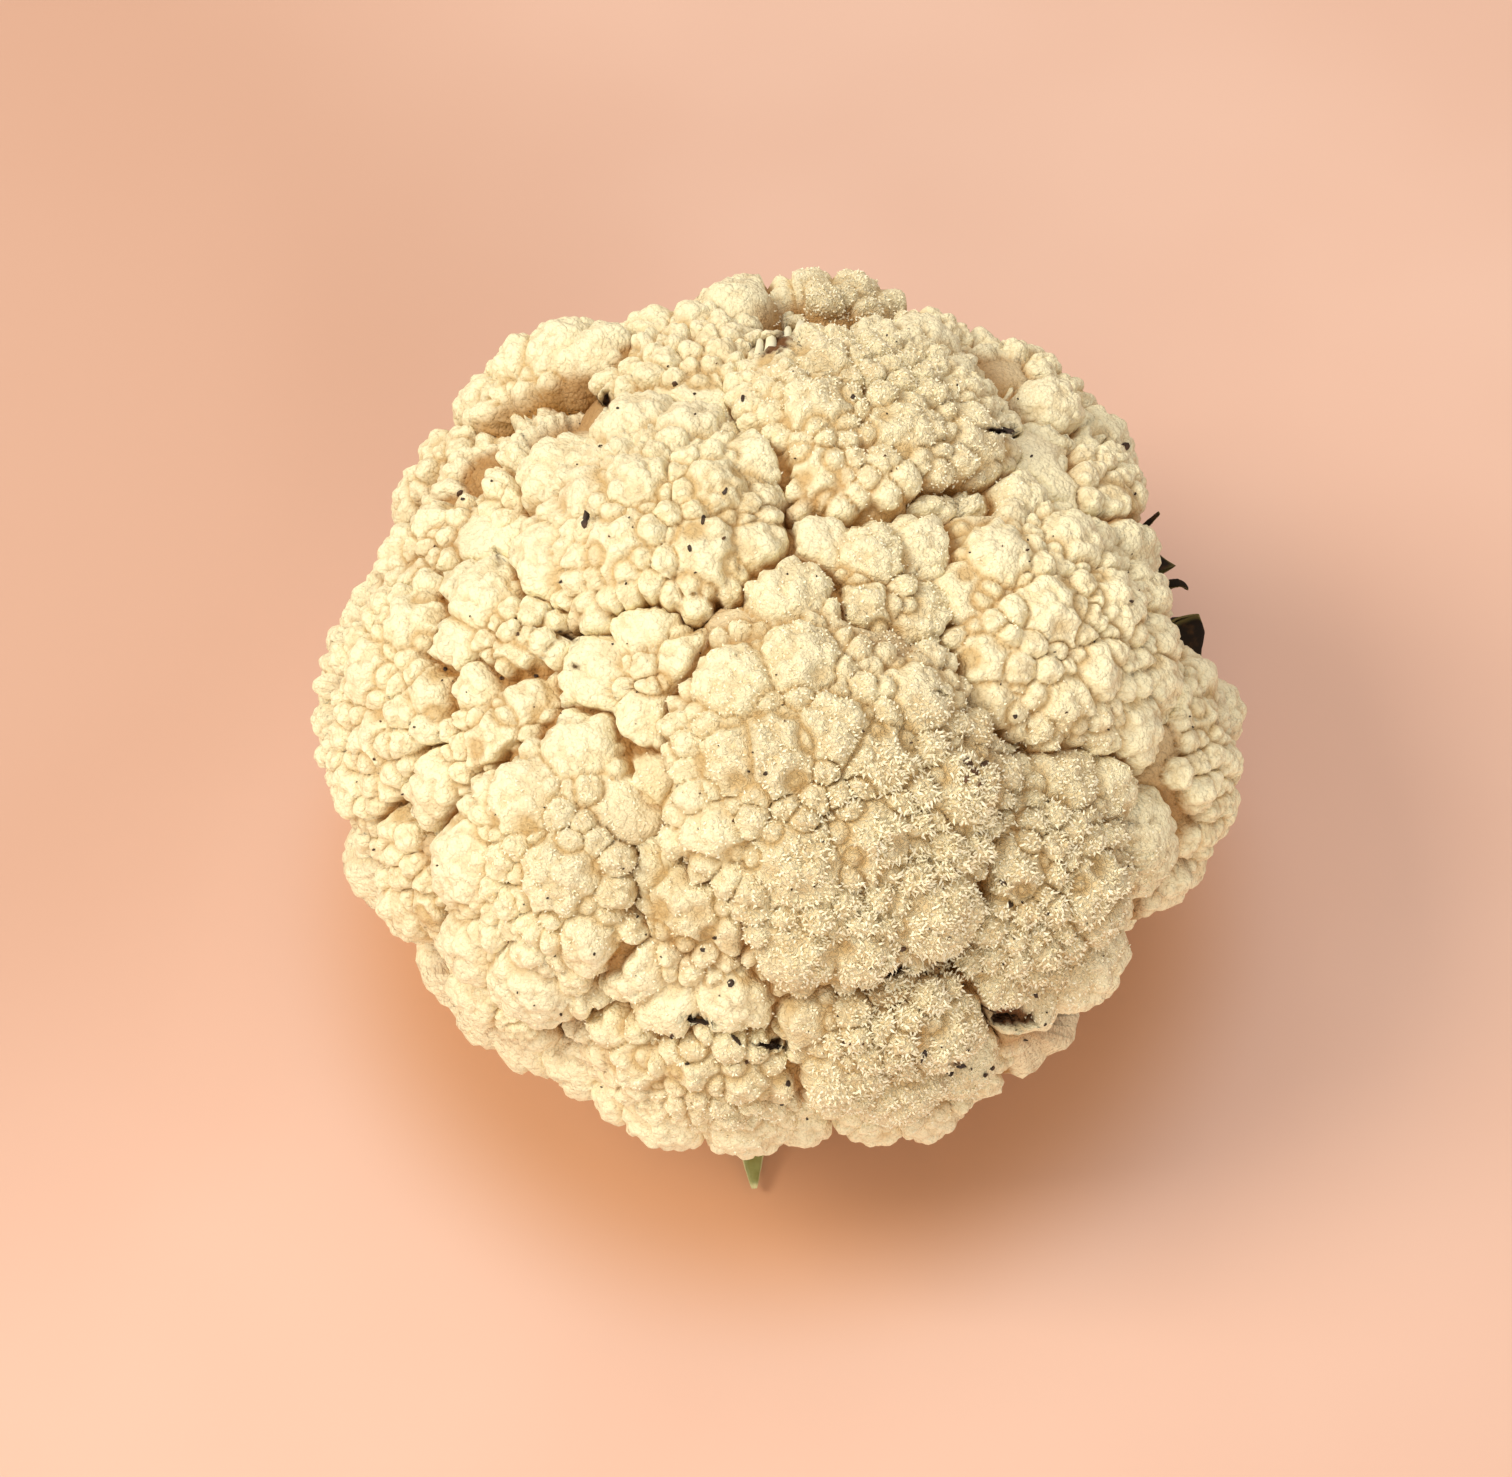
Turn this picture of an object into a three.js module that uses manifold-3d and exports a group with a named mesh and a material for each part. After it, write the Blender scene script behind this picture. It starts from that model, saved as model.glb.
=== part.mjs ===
// A trimmed cauliflower, standing on its cut stem: a domed head of packed florets, the forked stem
// that carries them, and the bases of its cut leaves. Millimetres, +Z up, the front is -Y.
// The origin is the middle of the cut face that it stands on.
import * as THREE from "three";
import { ConvexHull } from "three/addons/math/ConvexHull.js";
import { mergeVertices } from "three/addons/utils/BufferGeometryUtils.js";
import Module from "manifold-3d";

// Driving dimensions, in millimetres.
const HEAD_RADIUS = new THREE.Vector3(79, 79, 61); // the dome that the florets bulge out of
const HEAD_MIDDLE = new THREE.Vector3(0, 0, 56);
const BULGE = 0.3; // how far a floret's middle stands above its edge, as a share of its reach
const BULGE_MOST = 7.5; // and at most this
const EDGE = 0.4; // how far into a floret's outermost lobes its bulge reaches, as a share of them
const CREASE = 2.6; // how deep the creases between a floret's lobes are
const BODY_SAG = 0.3; // how far a floret's body is domed at least, as a share of its reach
const CLEFT = 8; // how far below the dome the bodies of two florets meet
const SINK = 4; // how much deeper the bottom of the cleft between two florets is
const STEM_RADIUS = 22; // at the cut face
const UNDERSIDE = 31; // the head's flat underside, inside its rim of florets
const STEM_TOP = 35; // the stem's top, let into the underside
const GAP = 0.35; // clearance between pieces that touch
const WAVE = 0.5; // how uneven a lobe is
const CORE_DEPTH = 12; // how far below the dome the core of the head lies
const SKIN_POINTS = 5200; // about how many points the skin of the head has
const UNDERNEATH = -0.62; // directions that sink more than this meet the flat underside
const POINTS_UNDERNEATH = 4; // one in so many is kept on the flat underside
const CREASE_ROOM = 0.45; // clear room round a point in a crease, as a share of the usual spacing
const LOBE_ROOM = 0.62; // and round a point on a lobe
const WAYS_TRIED = 8; // round each point, to find the nearest crease
const HALVINGS = 7; // of the step to it
const TRUNK_SIDES = 26;
const BRANCHES = 13; // that fork out of the trunk
const BRANCH_SIDES = 8;
const BRANCH_STEPS = 4;
const BRANCH_RADIUS = 7.2; // where it leaves the trunk
const BRANCH_TAPER = 1.6;
const BRANCH_FLATNESS = 0.85; // its height as a share of its width
const BRANCH_PATH = [[14, 16], [34, 20], [54, 33]]; // distance from the axis, and height
const BRANCH_VARIES = { length: 3, radius: 0.8, turn: 0.25 }; // turn is a share of their spacing
const BLADE_SIDES = 10;
const BLADE_STEPS = 6;
const CUP_MIDDLE = 0.3; // where a cupped blade's middle lies, as a share of the cup's depth

// The florets that show from the front and above are laid out from one viewpoint there.
const EYE_ELEVATION = THREE.MathUtils.degToRad(60);
const EYE_DISTANCE = 480;
const PIXELS_PER_MM = 5.35; // in the picture plane, through the middle of the head
const PICTURE_MIDDLE = [780, 715]; // pixels

// Each floret that shows: how far it stands above its neighbours, in mm, and its lobes, each with
// its middle in pixels of the picture, from the left and from the top, and its radius in mm.
const SEEN_FLORETS = {
  top_left: [8, [568, 376, 8.5], [472, 386, 8], [605, 360, 5], [536, 374, 6]],
  top_middle_left: [
    1, [662, 362, 8], [650, 385, 8], [690, 330, 6.5], [718, 392, 8.5], [700, 350, 7],
  ],
  top_nub: [-1, [763, 413, 4.8]],
  top_ridge: [9, [745, 287, 5.5], [735, 325, 6.5]],
  top_middle: [8, [785, 300, 6.5], [815, 285, 6], [850, 305, 8], [882, 292, 6.5]],
  above_middle: [
    4, [860, 345, 9], [785, 378, 5], [825, 385, 6.5], [820, 430, 8], [822, 490, 9.5],
    [893, 455, 9.5], [950, 460, 9], [912, 372, 8], [945, 410, 6.5],
  ],
  top_right_ridge: [4, [935, 330, 8.5], [955, 370, 6], [915, 300, 5.5]],
  top_right: [6, [1002, 395, 8], [990, 343, 6], [1045, 365, 7.5], [1080, 405, 6.5], [1045, 415, 5]],
  right_upper: [1.5, [1078, 468, 9.5], [1100, 510, 7.5], [1118, 452, 6.5], [1106, 512, 6.3]],
  right_upper_nub: [-2, [1005, 455, 5.5]],
  right_inner: [0, [957, 530, 8], [922, 522, 5]],
  right_middle: [
    2, [1045, 500, 7], [1010, 512, 5.5], [990, 580, 8.5], [1055, 560, 7], [1105, 560, 7.5],
    [1035, 625, 8], [1090, 620, 8], [1121, 602, 6.3], [1132, 650, 6.5], [980, 665, 8.5],
    [1045, 700, 8], [1105, 725, 8], [1130, 680, 7], [985, 702, 6.5], [1080, 675, 6],
  ],
  middle_right: [1, [820, 568, 7.5], [868, 572, 6.5], [915, 570, 7.5], [905, 635, 9], [860, 618, 6]],
  middle_nub: [-3, [782, 548, 6]],
  middle_left: [
    3, [645, 450, 8], [690, 450, 6.5], [748, 480, 6.5], [570, 490, 7.5], [572, 575, 9],
    [600, 508, 6], [640, 560, 9.5], [703, 562, 7.5], [750, 562, 7], [712, 505, 6.5],
    [645, 505, 7],
  ],
  middle_left_foot: [-1, [712, 612, 6.5]],
  left_upper_inner: [-1, [500, 440, 7], [505, 490, 7], [525, 525, 5.5], [548, 428, 5]],
  left_upper: [4.5, [478, 432, 7], [408, 485, 7.5], [453, 481, 4.5], [435, 450, 6]],
  left_above_edge: [0, [460, 545, 7.5], [425, 570, 7], [405, 540, 6], [440, 590, 6]],
  left_pit: [-5, [518, 562, 5.5], [545, 608, 5.5]],
  left_inner: [2, [505, 620, 8.5], [480, 652, 7], [530, 662, 6.5], [475, 605, 6]],
  left_edge: [
    3, [365, 625, 9], [345, 680, 8], [345, 740, 8.5], [386, 782, 7.5], [400, 680, 8],
    [430, 640, 7], [410, 740, 8.5], [450, 700, 6.5],
  ],
  left_lower_inner: [0, [540, 715, 7.5], [508, 742, 6], [465, 785, 8], [435, 815, 7], [490, 700, 6]],
  lower_left: [
    3, [590, 765, 8.5], [500, 860, 9.5], [545, 805, 8.5], [575, 870, 9], [550, 955, 9.5],
    [595, 925, 7], [500, 930, 8],
  ],
  middle_lower_left: [1, [615, 690, 8.5], [690, 680, 7.5], [655, 640, 6.5], [655, 722, 6.5]],
  low_nub: [0, [665, 778, 8], [690, 802, 5.5], [645, 802, 5]],
  low_pit: [-4, [632, 850, 5.5]],
  middle: [
    4, [790, 615, 8], [745, 700, 8.5], [800, 680, 8.5], [780, 760, 9.5], [745, 762, 7.5],
    [830, 740, 8], [905, 712, 7.5], [870, 765, 8], [938, 790, 9], [800, 850, 10.5],
    [860, 830, 9], [915, 890, 10], [800, 925, 9.5], [855, 930, 8], [722, 830, 6],
  ],
  low_middle_left: [
    1, [655, 865, 7], [700, 895, 9], [650, 945, 8.5], [735, 975, 8.5], [680, 985, 7.5],
    [740, 920, 6],
  ],
  low_middle: [2, [925, 1010, 9], [840, 1040, 10], [890, 1060, 8.5], [810, 1000, 7], [950, 1050, 6.5]],
  lower_right: [
    2, [1040, 790, 9], [1110, 840, 9], [1000, 865, 8.5], [1060, 880, 9], [1060, 945, 9.5],
    [985, 965, 7], [1078, 902, 6.5], [1020, 985, 6.5], [1085, 790, 7],
  ],
  right_pit: [-5, [972, 757, 7], [975, 787, 5]],
  right_edge: [
    2, [1198, 719, 6.5], [1175, 692, 6.3], [1170, 730, 7], [1212, 745, 6], [1178, 800, 8.5],
    [1180, 874, 7.5], [1210, 800, 6], [1165, 850, 6.5],
  ],
  left_lower_edge: [2, [405, 858, 8.5], [382, 842, 7], [430, 895, 7], [447, 899, 5]],
  bottom_left: [2, [466, 965, 8], [535, 1030, 8.5], [492, 1008, 7.5], [500, 980, 7]],
  bottom_middle: [
    0, [600, 1040, 8.5], [675, 1080, 9.5], [745, 1090, 9], [636, 1083, 6], [710, 1125, 7],
    [760, 1128, 7], [797, 1098, 6.5],
  ],
  bottom_right: [0, [840, 1088, 5], [876, 1100, 6], [926, 1099, 6.5], [968, 1096, 6.5], [993, 1076, 6.5]],
  bottom_far_right: [2, [1008, 1050, 6.5], [1040, 1025, 6]],
};

// The florets that don't show from there stand in rings round the back and under the rim:
// [height above the middle of the dome and first and last compass angle, in degrees, count, reach
// and rise in mm].
const HIDDEN_RINGS = [
  [32, 40, 152, 5, 15, 0],
  [6, 60, 172, 6, 15, 0],
  [-24, 54, 194, 7, 14, 0],
  [-24, -20, 4, 2, 12, 0],
  [-33, 212, 328, 5, 11, 0],
  [-2, 20, 44, 2, 13, -4],
  [-23, 20, 38, 2, 12, -2],
];
const LOBES_A_FLORET = 7; // on a hidden floret
const LOBE_SIZE = 0.42; // a hidden floret's smallest lobe, as a share of its reach
const LOBE_VARIES = 0.12; // and how much larger the largest one is
const LOBE_SPREAD = 0.74; // how far out its outermost lobes stand
const LOBE_TURN = 2.1; // how much one floret's lobes are turned from the next one's, in radians
const RING_VARIES = { compass: 6, height: 7, reach: 0.14 }; // degrees, and a share of the reach

const GOLDEN_ANGLE = Math.PI * (3 - Math.sqrt(5));

const wasm = await Module();
wasm.setup();

// A repeatable number from 0 to 1 for each n.
function chance(n) {
  const s = Math.sin(n * 12.9898 + 4.1414) * 43758.5453;
  return s - Math.floor(s);
}

function solid(geometry) {
  geometry.deleteAttribute("normal");
  geometry.deleteAttribute("uv");
  const merged = mergeVertices(geometry, 1e-3);
  return new wasm.Manifold(
    new wasm.Mesh({
      numProp: 3,
      vertProperties: merged.attributes.position.array,
      triVerts: new Uint32Array(merged.index.array),
    }),
  );
}

function geometryOf(manifold) {
  const m = manifold.getMesh();
  const geometry = new THREE.BufferGeometry();
  geometry.setAttribute("position", new THREE.BufferAttribute(m.vertProperties, m.numProp));
  geometry.setIndex(new THREE.BufferAttribute(m.triVerts, 1));
  geometry.computeVertexNormals();
  return geometry;
}

// The dome, swollen by `height`: its half sizes.
function dome(height) {
  return HEAD_RADIUS.clone().addScalar(height);
}

// The point of the swollen dome that shows at a pixel of the picture. A pixel just outside its
// outline gives the outline's nearest point.
function pointSeen([x, y], height) {
  const up = new THREE.Vector3(0, Math.sin(EYE_ELEVATION), Math.cos(EYE_ELEVATION));
  const eye = new THREE.Vector3(0, -Math.cos(EYE_ELEVATION), Math.sin(EYE_ELEVATION));
  eye.multiplyScalar(EYE_DISTANCE);
  const target = up.multiplyScalar((PICTURE_MIDDLE[1] - y) / PIXELS_PER_MM);
  target.x = (x - PICTURE_MIDDLE[0]) / PIXELS_PER_MM;
  const size = dome(height);
  const from = eye.clone().divide(size);
  const step = target.sub(eye).divide(size);
  const a = step.dot(step);
  const b = from.dot(step);
  const inside = b * b - a * (from.dot(from) - 1);
  const t = (-b - Math.sqrt(Math.max(inside, 0))) / a;
  return from.addScaledVector(step, t).normalize().multiply(size).add(HEAD_MIDDLE);
}

// The point of the dome at a compass angle and a height angle, in degrees.
function pointAt(compass, height) {
  const a = THREE.MathUtils.degToRad(compass);
  const h = THREE.MathUtils.degToRad(height);
  const way = new THREE.Vector3(
    Math.cos(h) * Math.cos(a), Math.cos(h) * Math.sin(a), Math.sin(h));
  return way.multiply(HEAD_RADIUS).add(HEAD_MIDDLE);
}

function bulgeOf(reach) {
  return Math.min(BULGE * reach, BULGE_MOST);
}

// The ball that a floret's lobes stand on. Its top is a crease's depth below theirs, and it meets
// its neighbours a cleft's depth below the dome.
function bodyOf(middle, out, reach, rise) {
  const top = rise + bulgeOf(reach) - CREASE;
  const sag = Math.max(top + CLEFT + (reach * reach) / (2 * HEAD_RADIUS.x), BODY_SAG * reach);
  const radius = (reach * reach + sag * sag) / (2 * sag);
  return { middle: middle.clone().addScaledVector(out, top - radius), radius };
}

// A floret that shows, as balls {middle, radius}: its body and its lobes. A floret is domed: the
// lobes at its middle stand higher than those at its edge.
function seenFloret([rise, ...lobes]) {
  const onDome = lobes.map((lobe) => pointSeen(lobe, 0));
  const middle = new THREE.Vector3();
  onDome.forEach((p) => middle.addScaledVector(p, 1 / onDome.length));
  const reach = Math.max(...onDome.map((p, i) => p.distanceTo(middle) + EDGE * lobes[i][2]));
  const out = middle.clone().sub(HEAD_MIDDLE).normalize();
  const balls = lobes.map((lobe, i) => {
    const share = onDome[i].distanceTo(middle) / reach;
    const height = rise + bulgeOf(reach) * (1 - share * share) - lobe[2];
    return { middle: pointSeen(lobe, height), radius: lobe[2] };
  });
  return [bodyOf(middle, out, reach, rise), ...balls];
}

// A hidden floret: lobes spread over its crown as seeds are over a sunflower.
function hiddenFloret(compass, height, reach, rise, seed) {
  const middle = pointAt(compass, height);
  const out = middle.clone().sub(HEAD_MIDDLE).normalize();
  const across = new THREE.Vector3(0, 0, 1).cross(out).normalize();
  const up = out.clone().cross(across);
  const balls = [bodyOf(middle, out, reach, rise)];
  for (let i = 0; i < LOBES_A_FLORET; i++) {
    const share = Math.sqrt((i + 0.3) / LOBES_A_FLORET);
    const angle = i * GOLDEN_ANGLE + seed * LOBE_TURN;
    const radius = reach * (LOBE_SIZE + LOBE_VARIES * chance(seed * 31 + i));
    const side = LOBE_SPREAD * reach * share;
    const point = middle.clone()
      .addScaledVector(across, side * Math.cos(angle))
      .addScaledVector(up, side * Math.sin(angle))
      .addScaledVector(out, rise + bulgeOf(reach) * (1 - share * share) - radius);
    balls.push({ middle: point, radius });
  }
  return balls;
}

function hiddenFlorets() {
  const florets = [];
  HIDDEN_RINGS.forEach(([height, first, last, count, reach, rise], ring) => {
    for (let i = 0; i < count; i++) {
      const seed = ring * 17 + i;
      const even = first + ((last - first) * i) / (count - 1);
      const compass = even + RING_VARIES.compass * (chance(seed) - 0.5);
      const tilt = height + RING_VARIES.height * (chance(seed + 0.5) - 0.5);
      const size = reach * (1 + RING_VARIES.reach * (chance(seed + 0.7) - 0.5));
      florets.push(hiddenFloret(compass, tilt, size, rise, seed));
    }
  });
  return florets;
}

// How far the core of the head reaches in a direction: a dome with a flat underside.
function coreReach(way) {
  const size = dome(-CORE_DEPTH);
  const onDome = 1 / way.clone().divide(size).length();
  const toFloor = way.z < 0 ? (UNDERSIDE - HEAD_MIDDLE.z) / way.z : Infinity;
  return Math.min(onDome, toFloor);
}

// The furthest that the head reaches from its middle in a direction, and which ball is out there:
// 0 is the core.
function headReach(way, balls) {
  let reach = coreReach(way);
  let which = 0;
  balls.forEach(({ middle, radius }, i) => {
    const x = middle.x - HEAD_MIDDLE.x;
    const y = middle.y - HEAD_MIDDLE.y;
    const z = middle.z - HEAD_MIDDLE.z;
    const along = way.x * x + way.y * y + way.z * z;
    const inside = along * along - (x * x + y * y + z * z) + radius * radius;
    if (inside <= 0) return;
    const far = along + Math.sqrt(inside);
    if (far > reach) {
      reach = far;
      which = i + 1;
    }
  });
  return { reach, which };
}

// Directions spread evenly over a sphere. Those towards the flat underside are thinned out.
function evenDirections(count) {
  const ways = [];
  for (let i = 0; i < count; i++) {
    const z = 1 - (2 * i + 1) / count;
    const angle = i * GOLDEN_ANGLE;
    const r = Math.sqrt(1 - z * z);
    if (z < UNDERNEATH && i % POINTS_UNDERNEATH) continue;
    ways.push(new THREE.Vector3(r * Math.cos(angle), r * Math.sin(angle), z));
  }
  return ways;
}

// Moves a direction into the nearest crease between two balls, if one is within `near` radians.
// The crease's bottom is the lower of its two sides.
function intoCrease(way, balls, near) {
  const here = headReach(way, balls);
  const sinkTo = (far) => (balls[far - 1]?.floret === balls[here.which - 1]?.floret ? 0 : SINK);
  const side = new THREE.Vector3(0, 0, 1).cross(way).normalize();
  const up = way.clone().cross(side);
  let best = { way, reach: here.reach, moved: near, crease: false };
  for (let k = 0; k < WAYS_TRIED; k++) {
    const angle = (k * 2 * Math.PI) / WAYS_TRIED;
    const step = side.clone().multiplyScalar(Math.cos(angle)).addScaledVector(up, Math.sin(angle));
    let low = 0;
    let high = near;
    const at = (d) => way.clone().addScaledVector(step, d).normalize();
    if (headReach(at(high), balls).which === here.which) continue;
    for (let n = 0; n < HALVINGS; n++) {
      const half = (low + high) / 2;
      if (headReach(at(half), balls).which === here.which) low = half;
      else high = half;
    }
    if (low >= best.moved) continue;
    const beyond = headReach(at(high), balls);
    const reach = Math.min(headReach(at(low), balls).reach, beyond.reach) - sinkTo(beyond.which);
    best = { way: at(low), reach, moved: low, crease: true };
  }
  return best;
}

// The skin of the head: points in its creases and on its lobes, joined to their neighbours.
function headSkin(balls) {
  const spacing = Math.sqrt((4 * Math.PI) / SKIN_POINTS);
  const tops = balls
    .map((ball) => ball.middle.clone().sub(HEAD_MIDDLE).normalize())
    .filter((way, i) => headReach(way, balls).which === i + 1)
    .map((way) => ({ way, reach: headReach(way, balls).reach, crease: true }));
  const spread = evenDirections(SKIN_POINTS).map((way) => intoCrease(way, balls, LOBE_ROOM * spacing));
  const found = [...tops, ...spread.filter((p) => p.crease), ...spread.filter((p) => !p.crease)];
  const kept = [];
  for (const point of found) {
    const room = (point.crease ? CREASE_ROOM : LOBE_ROOM) * spacing;
    if (kept.every((other) => other.way.distanceToSquared(point.way) > room * room)) kept.push(point);
  }
  const index = new Map(kept.map((point, i) => [point.way, i]));
  const hull = new ConvexHull().setFromPoints(kept.map((point) => point.way));
  const triangles = [];
  for (const face of hull.faces) {
    let edge = face.edge;
    do {
      triangles.push(index.get(edge.head().point));
      edge = edge.next;
    } while (edge !== face.edge);
  }
  const places = kept.flatMap(({ way, reach }, i) => {
    const uneven = WAVE * (chance(i) - 0.5);
    return way.clone().multiplyScalar(reach + uneven).add(HEAD_MIDDLE).toArray();
  });
  const geometry = new THREE.BufferGeometry();
  geometry.setAttribute("position", new THREE.Float32BufferAttribute(places, 3));
  geometry.setIndex(triangles);
  return solid(geometry);
}

// Bends a straight rod along a curve. `section(side, t)` gives how far a point of the rod's side,
// at angle `side`, stands off the curve sideways and upwards. For the middle of an end cap `side` is
// null, and it gives only how far that point stands upwards.
function bentRod(curve, sides, steps, section) {
  const geometry = new THREE.CylinderGeometry(1, 1, 1, sides, steps);
  const position = geometry.attributes.position;
  const p = new THREE.Vector3();
  for (let i = 0; i < position.count; i++) {
    p.fromBufferAttribute(position, i);
    const t = p.y + 0.5;
    const along = curve.getTangent(t);
    const sideways = new THREE.Vector3(0, 0, 1).cross(along).normalize();
    const upwards = along.clone().cross(sideways);
    const inMiddle = p.x * p.x + p.z * p.z < 1e-6;
    const off = inMiddle ? [0, section(null, t)] : section(Math.atan2(p.z, p.x), t);
    const at = curve.getPoint(t);
    at.addScaledVector(sideways, off[0]).addScaledVector(upwards, off[1]);
    position.setXYZ(i, at.x, at.y, at.z);
  }
  return solid(geometry);
}

// A point at a compass angle in degrees, a distance from the axis and a height.
function placeAt([compass, r, z]) {
  const angle = THREE.MathUtils.degToRad(compass);
  return new THREE.Vector3(r * Math.cos(angle), r * Math.sin(angle), z);
}

// The stem and the branches that fork out of it to the florets, `swell` mm larger all over.
function stemSolid(swell) {
  const profile = [
    [0, -swell], [STEM_RADIUS - 1 + swell, -swell], [STEM_RADIUS + swell, 1],
    [STEM_RADIUS + 1.5 + swell, 10], [STEM_RADIUS + 6 + swell, 21],
    [STEM_RADIUS + 11 + swell, STEM_TOP - 4], [STEM_RADIUS + 11 + swell, STEM_TOP + swell],
    [0, STEM_TOP + swell],
  ].map(([r, z]) => new THREE.Vector2(r, z));
  const trunk = new THREE.LatheGeometry(profile, TRUNK_SIDES);
  trunk.rotateX(Math.PI / 2);
  let made = solid(trunk);
  for (let i = 0; i < BRANCHES; i++) {
    const compass = ((i + BRANCH_VARIES.turn * chance(i + 90)) / BRANCHES) * 360;
    const longer = BRANCH_VARIES.length * chance(i + 40) + swell;
    const [root, bend, end] = BRANCH_PATH;
    const corners = [root, bend, [end[0] + longer, end[1]]].map(([r, z]) => placeAt([compass, r, z]));
    const curve = new THREE.QuadraticBezierCurve3(...corners);
    const thicker = BRANCH_VARIES.radius * chance(i + 7) + swell;
    const thick = (t) => BRANCH_RADIUS - BRANCH_TAPER * t + thicker;
    made = made.add(bentRod(curve, BRANCH_SIDES, BRANCH_STEPS, (side, t) =>
      side === null ? 0 : [thick(t) * Math.sin(side), BRANCH_FLATNESS * thick(t) * Math.cos(side)]));
  }
  return made;
}

// A cupped blade along a curve through or towards `places`. `sizes` holds its half width and half
// thickness at even steps along it, and it is `swell` mm larger all over.
function blade({ places, sizes, cup }, swell) {
  const curve = new THREE.CubicBezierCurve3(...places.map(placeAt));
  const sizeAt = (t) => {
    const step = Math.min(t * (sizes.length - 1), sizes.length - 1.001);
    const from = sizes[Math.floor(step)];
    const to = sizes[Math.floor(step) + 1];
    return [0, 1].map((k) => THREE.MathUtils.lerp(from[k], to[k], step % 1) + swell);
  };
  return bentRod(curve, BLADE_SIDES, BLADE_STEPS, (side, t) => {
    const [halfWidth, halfThickness] = sizeAt(t);
    const depth = cup * halfWidth;
    if (side === null) return -CUP_MIDDLE * depth;
    const across = Math.sin(side);
    return [halfWidth * across, halfThickness * Math.cos(side) + depth * (across * across - CUP_MIDDLE)];
  });
}

// What is left of the cut and torn leaves, each made of blades that start at the stem. Places are
// [compass angle in degrees, distance from the axis, height].
const LEAF_REMAINS = {
  leaf_base_front: [{
    places: [[264, 20, 6.5], [263.4, 40, 6.5], [263.8, 58, 5], [266.2, 73.5, 2.4]],
    sizes: [[9, 3], [8.4, 2.6], [6.2, 2], [4, 1.5], [0.5, 0.7]],
    cup: 0.3,
  }],
  leaf_base_right: [{
    places: [[4, 20, 8], [8, 60, 4], [17.5, 88.6, 7], [23.4, 87.4, 34]],
    sizes: [[9, 3.4], [7.5, 3.2], [5.6, 3], [4.6, 2.9]],
    cup: 0.25,
  }],
  leaf_torn_right: [
    {
      places: [[50, 20, 8], [46, 60, 4], [38, 93, 4], [35, 91, 22]],
      sizes: [[9, 3], [8.5, 2.2], [9.5, 1.4], [9, 1]],
      cup: 0.2,
    },
    {
      places: [[35, 90.5, 14], [34.5, 90.5, 22], [34, 91.5, 27], [33.4, 92, 33]],
      sizes: [[3.5, 1], [3, 0.9], [2.2, 0.8], [0.5, 0.4]],
      cup: 0.2,
    },
    {
      places: [[33.4, 89, 12], [31, 89, 27], [29, 92, 36], [28.6, 95, 29]],
      sizes: [[2.4, 1.3], [1.3, 0.8], [1.1, 0.7], [0.5, 0.4]],
      cup: 0.2,
    },
    {
      places: [[38.8, 89.8, 14], [39.5, 90.5, 22], [39, 95, 27], [38, 99.4, 33.5]],
      sizes: [[2.4, 1], [1.6, 0.9], [1, 0.6], [0.4, 0.4]],
      cup: 0.2,
    },
  ],
};

function leafSolid(blades, swell) {
  return wasm.Manifold.union(blades.map((form) => blade(form, swell)));
}

const colours = {
  curd: { color: 0xf0e2b8, roughness: 0.85, metalness: 0 },
  stem: { color: 0xdfe0b4, roughness: 0.6, metalness: 0 },
  leafGreen: { color: 0xa9b06a, roughness: 0.55, metalness: 0 },
  leafDark: { color: 0x2a2412, roughness: 0.7, metalness: 0 },
};

const group = new THREE.Group();

function addMesh(name, manifold, colour) {
  const mesh = new THREE.Mesh(geometryOf(manifold), new THREE.MeshStandardMaterial(colour));
  mesh.name = name;
  group.add(mesh);
}

// The head, hollowed where the stem and the leaves touch it.
function curdSolid() {
  const florets = [...Object.values(SEEN_FLORETS).map(seenFloret), ...hiddenFlorets()];
  const balls = florets.flatMap((floret, i) => floret.map((ball) => ({ ...ball, floret: i })));
  let made = headSkin(balls).subtract(stemSolid(GAP));
  for (const blades of Object.values(LEAF_REMAINS)) made = made.subtract(leafSolid(blades, GAP));
  return made;
}

addMesh("curd", curdSolid(), colours.curd);
addMesh("stem", stemSolid(0), colours.stem);
const clearOfStem = stemSolid(GAP);
for (const [name, blades] of Object.entries(LEAF_REMAINS)) {
  const colour = name === "leaf_base_front" ? colours.leafGreen : colours.leafDark;
  addMesh(name, leafSolid(blades, 0).subtract(clearOfStem), colour);
}

export default group;
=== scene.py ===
"""A trimmed cauliflower: cream florets with their lobes, buds and fine hairs, on a forked stem,
with what is left of its cut leaves."""
import math

import bpy
import numpy as np
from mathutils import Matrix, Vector
from mathutils.bvhtree import BVHTree


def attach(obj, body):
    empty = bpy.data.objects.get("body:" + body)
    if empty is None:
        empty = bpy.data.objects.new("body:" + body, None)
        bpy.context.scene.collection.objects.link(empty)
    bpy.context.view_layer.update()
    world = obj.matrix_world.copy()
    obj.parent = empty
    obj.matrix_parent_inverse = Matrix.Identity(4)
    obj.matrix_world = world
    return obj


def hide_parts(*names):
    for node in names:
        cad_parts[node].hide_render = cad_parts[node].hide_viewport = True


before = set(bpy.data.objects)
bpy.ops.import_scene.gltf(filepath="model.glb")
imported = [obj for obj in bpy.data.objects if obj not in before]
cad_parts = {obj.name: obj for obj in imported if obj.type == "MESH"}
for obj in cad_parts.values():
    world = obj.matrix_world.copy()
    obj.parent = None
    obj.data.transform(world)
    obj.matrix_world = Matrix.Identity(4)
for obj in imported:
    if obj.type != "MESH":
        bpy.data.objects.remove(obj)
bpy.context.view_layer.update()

MM = 0.001

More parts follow.
